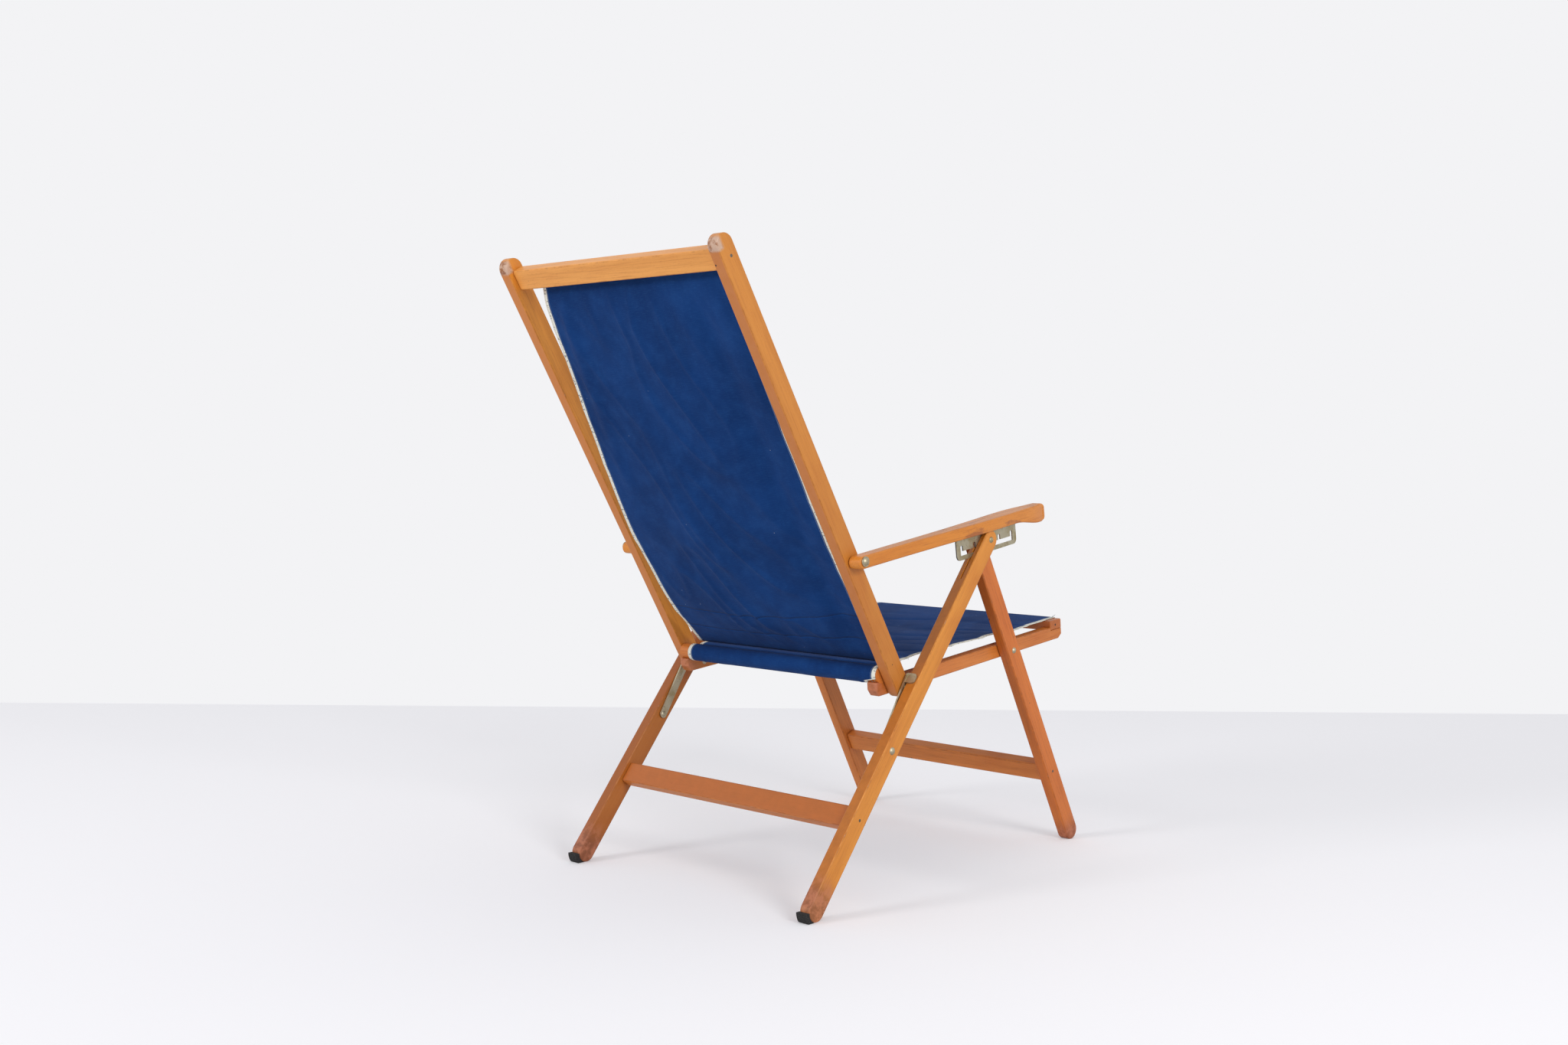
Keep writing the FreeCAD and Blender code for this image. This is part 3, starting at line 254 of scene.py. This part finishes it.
# Rear legs and their stretcher: sawn and planed beech under a clear lacquer that has gone
# orange with age, grain along each piece. Their back faces and the whole left leg are darkened
# with painted shade. The stretcher is tenoned in and nailed.
back_pivot = Vector((0, 0.046559, 0.340966))
top_pin = Vector((0, -0.159726, 0.5794))
arm_bolt = Vector((0, 0.178761, 0.555857))
half_thin, half_broad = 0.0105, 0.0175
rear_lean, rear_leg_x = 38.5, 0.2735


def lacquered_beech(name, start, lean, middle_x, half_thick, half_wide, base, dark, seed, across=False,
                    bare_above=None, rubbed_below=None, holes=(), grubby=0.0, back_shade_and_wear_tint=None):
    """Beech with its grain along a line that leans from the vertical, or across the chair."""
    f = Finish(name)
    at = f.node("ShaderNodeTexCoord", {}, {}, "Object")
    at = f.node("ShaderNodeVectorMath", {"operation": "SUBTRACT"}, {0: at, 1: tuple(start)})
    turned = f.node("ShaderNodeVectorRotate", {"rotation_type": "X_AXIS"}, {
        "Vector": at, "Angle": -math.radians(lean)})
    parts = f.tree.nodes.new("ShaderNodeSeparateXYZ")
    f.feed(parts.inputs[0], turned)
    x, deep, along = (Socket(f.tree, parts.outputs[i]) for i in range(3))
    if across:
        x, along = along, x

    def stretched(amount, offset):
        return f.node("ShaderNodeCombineXYZ", {}, {
            "X": x + seed * 1.7, "Y": deep, "Z": along * amount + offset})

    grain = stretched(0.05, seed)
    free_at = stretched(1.0, seed * 3.1)
    broad = f.noise(grain, 34, 3, 0.55)
    fine = f.noise(stretched(0.035, seed), 380, 5, 0.7)
    fleck_mask = f.step(f.cells(stretched(0.2, seed), 640.0), 0.10, 0.32, 1.0, 0.0)
    cloud = f.noise(stretched(0.5, seed * 2.3), 11, 3, 0.6)
    blotch = f.noise(free_at, 60, 4, 0.65)
    pale = tuple(min(1, c * k) for c, k in zip(base, (1.12, 1.18, 1.3)))
    ruddy = tuple(c * k for c, k in zip(base, (0.86, 0.72, 0.62)))
    colour = f.mix(f.step(broad, 0.35, 0.66), base, pale)
    colour = f.mix(f.step(cloud, 0.48, 0.72) * 0.6, colour, ruddy)
    colour = f.mix(f.step(fine, 0.44, 0.76) * 0.38, colour, dark)
    colour = f.mix(fleck_mask * f.step(fine, 0.35, 0.6) * 0.34, colour, dark)
    spot_mask = f.step(f.cells(free_at, 26.0), 0.02, 0.055, 1.0, 0.0) * f.step(blotch, 0.47, 0.53)
    colour = f.mix(spot_mask * 0.8, colour, (0.07, 0.026, 0.012))
    side = abs(x - middle_x) / half_thick if not across else abs(x) / half_thick
    near_edge = side.least(abs(deep) / half_wide)
    soiled = f.step(near_edge + (blotch - 0.5) * 0.35, 0.86, 1.0)
    colour = f.mix(soiled * 0.55, colour, tuple(c * 0.55 for c in dark))
    scuff = f.step(near_edge + (blotch - 0.5) * 0.9, 1.02, 1.1)
    colour = f.mix(scuff * 0.45, colour, shade(196, 150, 118))
    height = fine * 0.5 + fleck_mask * -0.25 + spot_mask * -1.0
    # Back faces get a darker tint: painted shade on the rear legs and rear stretcher, a worn pinkish tone on
    # the stiles.
    if back_shade_and_wear_tint:
        back_shade_and_wear_mask = f.step(deep, half_wide * 0.975, half_wide * 0.995)
        colour = f.mix(back_shade_and_wear_mask * 0.85, colour, f.mix(blotch, back_shade_and_wear_tint, ruddy))
    if rubbed_below is not None:
        rubbed = f.step(along * -1.0 + (blotch - 0.5) * 0.05, -rubbed_below, 0.05 - rubbed_below)
        worn = f.mix(f.step(blotch, 0.38, 0.6), shade(120, 66, 46), shade(178, 110, 82))
        colour = f.mix(rubbed * 0.75, colour, worn)
    if grubby:
        smear = f.step(f.noise(stretched(0.35, seed * 5.0), 36, 5, 0.7), 0.52, 0.64)
        colour = f.mix(smear * f.step(along, 0.12, 0.3) * grubby, colour, shade(122, 58, 44))
    if bare_above is not None:
        bare = f.step(along + (blotch - 0.5) * 0.008, bare_above, bare_above + 0.006)
        end_grain = f.mix(f.step(blotch, 0.42, 0.58), shade(128, 84, 62), shade(198, 172, 154))
        colour = f.mix(bare * f.step(deep, 0.002, 0.010) * 0.8, colour, end_grain)
    for hole_x, hole_deep, hole_along, radius in holes:
        gap_x, gap_deep, gap_along = x - hole_x, deep - hole_deep, along - hole_along
        away = (gap_x * gap_x + gap_deep * gap_deep + gap_along * gap_along) ** 0.5
        inside = f.step(away, radius * 0.8, radius * 1.15, 1.0, 0.0)
        # The hole is painted near-black: painted shade of its depth, which the bump only dents.
        colour = f.mix(inside * 0.95, colour, (0.012, 0.006, 0.004))
        height = height - inside * 3.0
    rough = 0.42 + (fine - 0.5) * 0.16 + soiled * 0.2 + (cloud - 0.5) * 0.16
    f.set(Base_Color=colour, Roughness=rough, Normal=f.bump(height, 0.22, 0.0006))
    f.shader.inputs["Specular IOR Level"].default_value = 0.38
    f.shader.inputs["Coat Weight"].default_value = 0.12
    f.shader.inputs["Coat Roughness"].default_value = 0.2
    return f.material


def dress(node, material):
    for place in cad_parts[node].material_slots:
        place.material = material


orange_beech = shade(212, 133, 44)
orange_dark = shade(166, 88, 30)
ruddy_beech = shade(202, 117, 48)
ruddy_dark = shade(138, 66, 26)
# The left rear leg's darker base colour is painted shade.
for side, mid, base in (("left", 1, shade(172, 98, 32)), ("right", -1, orange_beech)):
    dress("rear_leg_" + side, lacquered_beech(
        "beech_rear_leg_" + side, top_pin, rear_lean, rear_leg_x * mid, half_thin, half_broad, base,
        orange_dark, 1.3 + mid, rubbed_below=-0.655, back_shade_and_wear_tint=shade(142, 76, 14)))
dress("rear_stretcher", lacquered_beech(
    "beech_rear_stretcher", (0, 0.187, 0.143), rear_lean, 0, 0.0185, 0.01, ruddy_beech, ruddy_dark,
    21.0, True, back_shade_and_wear_tint=shade(160, 88, 32)))

# Front legs and their stretcher: the same beech, a little redder, with knocks near the feet.
# They turn on the top pins and carry the seat rails on a bolt each.
front_lean, inner_frame_x = -28.9, 0.246
for side, mid, base in (("left", 1, ruddy_beech), ("right", -1, shade(202, 108, 38))):
    dress("front_leg_" + side, lacquered_beech(
        "beech_front_leg_" + side, top_pin, front_lean, inner_frame_x * mid, half_thin, half_broad, base,
        ruddy_dark, 4.1 + mid, rubbed_below=-0.60))
dress("front_stretcher", lacquered_beech(
    "beech_front_stretcher", (0, -0.403, 0.138), front_lean, 0, 0.0185, 0.01, ruddy_beech, ruddy_dark,
    23.0, True))

# Stiles and top rail: the frame of the back. The rounded tops of the stiles are rubbed down
# to grey end grain, and the right one has an old nail hole beside the rail, painted near-black as shade.
back_lean = 31.6
nail_hole = (-0.2392, 0.0175, 0.7846, 0.0016)
# The right stile's darker base colour is painted shade.
for side, mid, base in (("left", 1, orange_beech), ("right", -1, shade(198, 124, 46))):
    dress("stile_" + side, lacquered_beech(
        "beech_stile_" + side, back_pivot, -back_lean, inner_frame_x * mid, half_thin, half_broad, base,
        orange_dark, 7.7 + mid, bare_above=0.803, back_shade_and_wear_tint=shade(196, 124, 74),
        holes=[nail_hole] if mid < 0 else ()))
dress("top_rail", lacquered_beech(
    "beech_top_rail", (0, 0.4585, 1.0147), -back_lean, 0, half_broad, half_thin, shade(224, 150, 70),
    orange_dark, 25.0, True))

# Seat rails, front board and round rear bar: redder and darker where hands and legs rub. The
# board is let into the rails' ends, the bar lies in a hollow on top of them.
seat_slope = 6.1
for side, mid in (("left", 1), ("right", -1)):
    dress("seat_rail_" + side, lacquered_beech(
        "beech_seat_rail_" + side, back_pivot, 90 - seat_slope, 0.224 * mid, half_thin, 0.012, ruddy_beech,
        ruddy_dark, 11.2 + mid, rubbed_below=-0.004))
dress("seat_front_rail", lacquered_beech(
    "beech_front_board", (0, -0.44, 0.4085), -seat_slope, 0, 0.009, 0.018, shade(180, 98, 40), ruddy_dark,
    27.0, True, holes=[(0.0, 0.002, -0.2345, 0.0022)]))
dress("seat_rear_bar", lacquered_beech(
    "beech_rear_bar", (0, 0.0759, 0.361), 0, 0, 0.02, 0.02, ruddy_beech, ruddy_dark, 29.0, True))

# Armrests: wide beech boards with rounded rims, paler on top where arms have rubbed them and
# smeared dark on the outer side above the steel plate.
for side, mid in (("left", 1), ("right", -1)):
    dress("armrest_" + side, lacquered_beech(
        "beech_armrest_" + side, arm_bolt, 81.3, 0.2705 * mid, 0.03, 0.02, shade(210, 128, 42), ruddy_dark,
        15.6 + mid, grubby=0.6))

# Steel: stamped and turned parts with a dull zinc plating, gone grey and yellowish, with
# brown specks where it has worn through. Nails are plain dark steel, hammered flush.


def plated_steel(name, base, rough):
    f = Finish(name)
    at = f.node("ShaderNodeTexCoord", {}, {}, "Object")
    cloud = f.noise(at, 60, 4, 0.6)
    grit = f.noise(at, 900, 3, 0.6)
    speck = f.step(f.noise(at, 260, 4, 0.7), 0.60, 0.68)
    colour = f.mix(f.step(cloud, 0.4, 0.7), base, tuple(c * k for c, k in zip(base, (0.78, 0.70, 0.55))))
    colour = f.mix(speck * 0.6, colour, (0.11, 0.055, 0.025))
    f.set(Base_Color=colour, Metallic=1.0 - speck * 0.6, Roughness=rough + (grit - 0.5) * 0.25 + speck * 0.3,
          Normal=f.bump(grit + speck * 0.8, 0.2, 0.0003))
    return f.material


zinc = plated_steel("zinc_plated_steel", shade(184, 176, 152), 0.46)
dark_steel = plated_steel("hammered_nail_steel", shade(120, 110, 98), 0.55)
for node in ("top_pin_heads", "top_pins", "link_bolts", "seat_pivot_bolts", "back_pivot_pins", "link_rivets",
             "armrest_bolts", "armrest_bolt_ends", "armrest_washers", "notch_plate_left", "notch_plate_right",
             "link_left", "link_right"):
    dress(node, zinc)
for node in ("rear_stretcher_nails", "front_stretcher_nails", "top_rail_nails"):
    dress(node, dark_steel)

# Felt: a scrap of thick black felt glued round the back of each rear foot, matted with dust.
felt = Finish("matted_black_felt")
felt_at = felt.node("ShaderNodeTexCoord", {}, {}, "Object")
felt_fuzz = felt.noise(felt_at, 700, 6, 0.75)
felt_lumps = felt.noise(felt_at, 160, 3, 0.6)
felt.set(Base_Color=felt.mix(felt.step(felt_fuzz, 0.45, 0.75), (0.012, 0.011, 0.011), (0.075, 0.068, 0.062)),
         Roughness=0.95, Normal=felt.bump(felt_fuzz + felt_lumps * 2.0, 0.9, 0.0012))
dress("foot_felts", felt.material)

# Canvas: one plain-woven blue cotton strip, sewn into a sleeve round the rear seat bar, flat
# over the seat and bellied behind the stiles. Its two edges are the loom's own white selvedge.
# It hangs slack on its left edge and is drawn tight along the right stile.
cloth_wide = 0.438
left_edge, right_edge = 0.212, -0.2215
back_angle, seat_angle = math.radians(back_lean), math.radians(seat_slope)
along_stile = Vector((0, math.sin(back_angle), math.cos(back_angle)))
behind_stile = Vector((0, math.cos(back_angle), -math.sin(back_angle)))
ahead_seat = Vector((0, -math.cos(seat_angle), math.sin(seat_angle)))
above_seat = Vector((0, math.sin(seat_angle), math.cos(seat_angle)))


def in_stile(up_stile, behind):
    return back_pivot + along_stile * up_stile + behind_stile * behind


def in_seat(ahead_of, above):
    return back_pivot + ahead_seat * ahead_of + above_seat * above


def ramp(value, low, high):
    t = min(max((value - low) / (high - low), 0), 1)
    return t * t * (3 - 2 * t)


def smooth_run(points, spacing):
    """Points at an even spacing on a smooth curve through the given points."""
    dense = []
    for i in range(len(points) - 1):
        a, b = points[max(i - 1, 0)], points[i]
        c, d = points[i + 1], points[min(i + 2, len(points) - 1)]
        for k in range(12):
            t = k / 12
            dense.append(0.5 * ((2 * b) + (c - a) * t + (2 * a - 5 * b + 4 * c - d) * t * t
                                + (3 * b - a - 3 * c + d) * t ** 3))
    dense.append(points[-1])
    lengths = [0.0]
    for p, q in zip(dense, dense[1:]):
        lengths.append(lengths[-1] + (q - p).length)
    count = max(2, round(lengths[-1] / spacing))
    run, j = [], 0
    for i in range(count + 1):
        want = lengths[-1] * i / count
        while j < len(dense) - 2 and lengths[j + 1] < want:
            j += 1
        span = max(lengths[j + 1] - lengths[j], 1e-9)
        run.append(dense[j].lerp(dense[j + 1], (want - lengths[j]) / span))
    return run, lengths[-1]


def woven_cloth():
    f = Finish("blue_cotton_canvas")
    where = f.tree.nodes.new("ShaderNodeUVMap")
    where.uv_map = "cloth"
    parts = f.tree.nodes.new("ShaderNodeSeparateXYZ")
    f.tree.links.new(where.outputs[0], parts.inputs[0])
    across, down = Socket(f.tree, parts.outputs[0]), Socket(f.tree, parts.outputs[1])

    def stretched(across_by, down_by, offset):
        return f.node("ShaderNodeCombineXYZ", {}, {"X": across * across_by, "Y": down * down_by, "Z": offset})

    flat = stretched(1.0, 1.0, 0.0)
    thread_apart, row_apart = 0.0011, 0.0012
    weave = (across * (2 * math.pi / thread_apart)).sin() * (down * (2 * math.pi / row_apart)).sin()
    thread = f.noise(stretched(0.10, 1.0, 0.0), 900, 3, 0.6)
    thread_down = f.noise(stretched(1.0, 0.05, 3.0), 700, 3, 0.6)
    cloud = f.noise(flat, 6, 4, 0.6)
    faded = f.noise(flat, 24, 5, 0.68)
    streak = f.noise(stretched(1.0, 0.16, 9.0), 26, 4, 0.6)
    colour = f.mix(f.step(cloud, 0.32, 0.68), shade(8, 47, 100), shade(14, 59, 119))
    colour = f.mix(f.step(faded, 0.42, 0.75) * 0.22, colour, shade(34, 80, 140))
    colour = f.mix(f.step(streak, 0.5, 0.78) * 0.25, colour, shade(8, 38, 86))
    colour = f.mix(f.step(thread, 0.48, 0.75) * 0.24, colour, shade(44, 92, 152))
    colour = f.mix(f.step(thread_down, 0.5, 0.75) * 0.22, colour, shade(8, 36, 84))
    colour = f.mix((weave * 0.5 + 0.5) * 0.14, colour, shade(8, 30, 72))
    lint = f.step(f.cells(flat, 42.0), 0.025, 0.045, 1.0, 0.0) * f.step(faded, 0.52, 0.56)
    colour = f.mix(lint * 0.55, colour, (0.55, 0.58, 0.62))
    selvedge, line_at = 0.0075, 0.0094
    from_edge = cloth_wide / 2 - abs(across)
    border = f.step(from_edge, selvedge - 0.0003, selvedge + 0.0003, 1.0, 0.0)
    inner_line = f.step(abs(from_edge - line_at), 0.0003, 0.0007, 1.0, 0.0)
    specks = f.step(f.noise(stretched(0.4, 1.0, 5.0), 330, 2, 0.5), 0.58, 0.64)
    colour = f.mix(inner_line * 0.35, colour, shade(170, 184, 196))
    colour = f.mix(border, colour, f.mix(specks * 0.7, shade(226, 226, 214), shade(70, 76, 88)))
    height = weave * 0.35 + thread * 0.8 + thread_down * 0.6 + faded * 1.5
    f.set(Base_Color=colour, Roughness=0.9, Normal=f.bump(height, 0.4, 0.0005))
    f.shader.inputs["Specular IOR Level"].default_value = 0.12
    f.shader.inputs["Sheen Weight"].default_value = 0.03
    f.shader.inputs["Sheen Roughness"].default_value = 0.5
    return f.material


canvas_blue = woven_cloth()


def cloth_piece(name, run, length, start_at, shape, thick=0.0011):
    """A thin closed sheet on a run of points. shape gives each point's place across the
    chair and how far it lies off the run, from the run's point, the share across and the way down."""
    columns = 96
    verts, uvs = [], []
    rows = len(run)
    for i, point in enumerate(run):
        before, after = run[max(i - 1, 0)], run[min(i + 1, rows - 1)]
        normal = Vector((1, 0, 0)).cross((after - before).normalized())
        down = start_at + length * i / (rows - 1)
        for j in range(columns + 1):
            share = j / columns
            x, lift = shape(point, share, down)
            verts.append(point + Vector((x, 0, 0)) + normal * lift)
            uvs.append((cloth_wide * (0.5 - share), down))
    faces = []
    for i in range(rows - 1):
        for j in range(columns):
            a = i * (columns + 1) + j
            faces.append((a, a + columns + 1, a + columns + 2, a + 1))
    mesh = bpy.data.meshes.new(name)
    mesh.from_pydata(verts, [], faces)
    layer = mesh.uv_layers.new(name="cloth")
    for loop in mesh.loops:
        layer.data[loop.index].uv = uvs[loop.vertex_index]
    mesh.shade_smooth()
    mesh.materials.append(canvas_blue)
    piece = bpy.data.objects.new(name, mesh)
    scene.collection.objects.link(piece)
    bpy.context.view_layer.objects.active = piece
    solid = piece.modifiers.new("thickness", "SOLIDIFY")
    solid.thickness = thick
    solid.offset = 0
    with bpy.context.temp_override(object=piece, active_object=piece):
        bpy.ops.object.modifier_apply(modifier="thickness")
    return piece


def creases(x, down, turn, seed):
    """Soft folds and sharp little creases of used cloth that run at a slant, in metres."""
    u = x * math.cos(turn) + down * math.sin(turn)
    v = down * math.cos(turn) - x * math.sin(turn)
    soft = noise.noise(Vector((u * 11 + seed, v * 2.6, seed * 2))) * 0.0044
    small = noise.noise(Vector((u * 30 + seed, v * 9, seed * 3 + 1))) * 0.0009
    fold = (1 - abs(noise.noise(Vector((u * 17 + seed, v * 4.2, 4.0 + seed))))) ** 9 * 0.0034
    return soft + small + fold


# The back: nailed to the front of the top rail, it passes under the rail, bellies out behind
# the stiles and comes down to the seam above the rear bar. Its lowest stretch is made as two separate pieces.
canvas_top, canvas_seam, full_belly = 0.772, 0.040, 0.0345
belly = [(0.012, -0.39), (0.05, -0.13), (0.1, 0.0), (0.3, 0.42), (0.45, 0.72), (0.61, 0.97), (0.69, 0.87),
         (0.75, 0.79), (0.8, 0.74), (0.85, 0.62), (0.9, 0.4), (0.95, 0.12), (1.0, -0.16)]
back_points = [in_stile(0.800, -0.01385), in_stile(0.786, -0.01385), in_stile(0.774, -0.0139)]
back_points += [in_stile(canvas_top - f * (canvas_top - canvas_seam), full_belly * d) for f, d in belly]
row_spacing = 0.0046
back_run, back_length = smooth_run(back_points, row_spacing)
row_step = back_length / (len(back_run) - 1)


def back_shape(point, share, down):
    """Slack on the left, tight against the right stile, puckered at the rail and the seam."""
    way = ramp(down, 0.03, back_length)
    left = 0.2055 + 0.0065 * way
    right = -0.2325 + 0.0065 * ramp(down, back_length - 0.13, back_length - 0.02)
    x = left + (right - left) * share
    behind = (point - back_pivot).dot(behind_stile)
    held = ramp(down, 0.034, 0.12) * ramp(back_length - down, 0.004, 0.09)
    lift = -0.0042 * way - max(behind, 0) * 0.68 * ramp(share, 0.45, 1.0)
    lift += held * 0.009 * math.sin(math.pi * share)
    lift += held * 0.0060 * math.exp(-((x - 0.160) / 0.015) ** 2) * ramp(0.5 - down, 0.0, 0.3)
    lift -= held * 0.0075 * math.exp(-((x + 0.150 + 0.05 * down) / 0.024) ** 2)
    lift += held * creases(x, down, 0.42, 0.0) * (0.4 + 0.6 * min(share, 1 - share) * 4)
    near_rail = math.exp(-((down - 0.055) / 0.03) ** 2)
    near_seam = math.exp(-((back_length - 0.05 - down) / 0.035) ** 2)
    lift += noise.noise(Vector((x * 26, down * 8, 2.0))) * 0.0016 * near_rail * ramp(down, 0.034, 0.05)
    lift += noise.noise(Vector((x * 24, down * 26, 7.0))) * 0.0034 * near_seam * held
    return x, lift


heights = [(p - back_pivot).dot(along_stile) for p in back_run]
first_split = next(i for i, h in enumerate(heights) if h < 0.140)
second_split = next(i for i, h in enumerate(heights) if h < 0.090)


def back_part(name, low, high):
    run = back_run[low:high + 1]
    return cloth_piece(name, run, row_step * (high - low), row_step * low, back_shape)


back_cloth = back_part("back_cloth", 0, first_split)
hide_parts("back_canvas")
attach(back_cloth, "back")
row_step * first_split
fold_cloth = back_part("back_cloth_fold", first_split, second_split)
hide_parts("back_canvas_lap")
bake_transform(fold_cloth)
row_step * (second_split - first_split)
last = len(back_run) - 1
seam_cloth = back_part("back_cloth_seam", second_split, last)
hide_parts("back_canvas_lap")
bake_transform(seam_cloth)

# The seat: a sleeve round the rear bar, then flat and taut to the front board, over its edge
# and tacked to its front face. The lower end of the back is sewn to it on top of the bar.
bar_ahead, bar_above, sleeve_round, sleeve_turn = -0.027, 0.023, 0.01495, 285
rail_top, rail_inside = 0.012, -0.2122
sleeve_points = []
for step in range(27):
    turn = math.radians(75 + sleeve_turn * step / 26)
    sleeve_points.append(in_seat(
        bar_ahead + sleeve_round * math.cos(turn), bar_above + sleeve_round * math.sin(turn)))
seat_points = sleeve_points + [in_seat(a, w) for a, w in (
    (-0.0125, 0.0315), (0.000, 0.0365), (0.057, 0.0352), (0.15, 0.0326), (0.243, 0.0305), (0.33, 0.0280),
    (0.40, 0.0262), (0.450, 0.0254), (0.474, 0.0256), (0.490, 0.0256), (0.504, 0.0256), (0.5092, 0.0245),
    (0.5103, 0.0200), (0.5103, 0.0130))]
seat_run, seat_length = smooth_run(seat_points, row_spacing)
sleeve_length = sleeve_round * math.radians(sleeve_turn)


def seat_shape(point, share, down):
    """Taut, with a slight sag and creases from side to side. Over the rail the sleeve is cut back."""
    above = (point - back_pivot).dot(above_seat)
    right = right_edge - 0.011 * ramp(sleeve_length + 0.12 - (down - back_length), 0, 0.12)
    if down - back_length < sleeve_length:
        right = rail_inside + (right - rail_inside) * ramp(above, rail_top + 0.0015, rail_top + 0.006)
    x = left_edge + (right - left_edge) * share
    down -= back_length
    held = ramp(down - sleeve_length - 0.02, 0, 0.06) * ramp(seat_length - 0.075 - down, 0, 0.06)
    lift = held * 0.0035 * math.sin(math.pi * share)
    lift += held * creases(down, x, 0.2, 5.0) * 0.9
    round_bar = math.sin(min(down / sleeve_length, 1) * math.pi)
    lift += max(noise.noise(Vector((x * 26, down * 14, 1.0))), 0) * 0.0009 * round_bar
    for tuck in (0.176, -0.196):
        lift += 0.0008 * round_bar * math.exp(-((x - tuck) / 0.003) ** 2)
    return x, lift


seat_cloth = cloth_piece("seat_cloth", seat_run, seat_length, back_length, seat_shape)
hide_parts("seat_canvas")
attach(seat_cloth, "seat")
row_step * (last - second_split)

# Frayed ends of thread where the selvedge was cut: a black tuft at the sleeve's right end and
# beside the stile, and a pale wisp at the right front corner. They move with the seat.
ravelled = Finish("ravelled_cotton_thread")
ravelled_at = ravelled.node("ShaderNodeTexCoord", {}, {}, "Object")
ravelled.set(Base_Color=ravelled.mix(ravelled.step(ravelled.noise(ravelled_at, 160, 2), 0.45, 0.55),
                                     shade(16, 20, 30), shade(196, 198, 190)), Roughness=0.9)


def thread_ends(name, strands):
    """Thin five-sided tubes along short curved strands."""
    verts, faces = [], []
    for points, radius in strands:
        places = [in_seat(ahead_of, above) + Vector((x, 0, 0)) for x, ahead_of, above in points]
        path, _ = smooth_run(places, 0.0012)
        first = len(verts)
        for i, point in enumerate(path):
            tangent = (path[min(i + 1, len(path) - 1)] - path[max(i - 1, 0)]).normalized()
            side = tangent.cross(Vector((0.3, 0.2, 1))).normalized()
            other = tangent.cross(side)
            for k in range(5):
                turn = 2 * math.pi * k / 5
                verts.append(point + (side * math.cos(turn) + other * math.sin(turn)) * radius)
        for i in range(len(path) - 1):
            for k in range(5):
                a, b = first + i * 5 + k, first + i * 5 + (k + 1) % 5
                faces.append((a, b, b + 5, a + 5))
        faces.append(tuple(first + k for k in reversed(range(5))))
        faces.append(tuple(first + (len(path) - 1) * 5 + k for k in range(5)))
    mesh = bpy.data.meshes.new(name)
    mesh.from_pydata(verts, [], faces)
    mesh.shade_smooth()
    mesh.materials.append(ravelled.material)
    tuft = bpy.data.objects.new(name, mesh)
    scene.collection.objects.link(tuft)
    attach(tuft, "seat")
    return tuft


thread_ends("sleeve_thread_ends", [
    ([(-0.2262, -0.036, 0.0150), (-0.2285, -0.039, 0.0138), (-0.2305, -0.0405, 0.0150)], 0.00045),
    ([(-0.2240, -0.040, 0.0160), (-0.2262, -0.0425, 0.0136), (-0.2290, -0.0432, 0.0142)], 0.00040),
    ([(-0.2215, 0.018, 0.0360), (-0.2235, 0.020, 0.0335), (-0.2240, 0.0235, 0.0320)], 0.00045),
    ([(-0.2215, 0.031, 0.0362), (-0.2238, 0.0335, 0.0340), (-0.2236, 0.038, 0.0336)], 0.00045),
    ([(-0.2215, 0.055, 0.0356), (-0.2240, 0.057, 0.0338), (-0.2262, 0.0555, 0.0326)], 0.00035)])
thread_ends("corner_thread_ends", [
    ([(-0.2215, 0.488, 0.0262), (-0.2245, 0.492, 0.0285), (-0.2262, 0.499, 0.0312)], 0.00028),
    ([(-0.2210, 0.497, 0.0262), (-0.2236, 0.502, 0.0290), (-0.2225, 0.508, 0.0304)], 0.00028),
    ([(-0.2213, 0.478, 0.0262), (-0.2248, 0.480, 0.0276), (-0.2278, 0.4845, 0.0288)], 0.00026)])
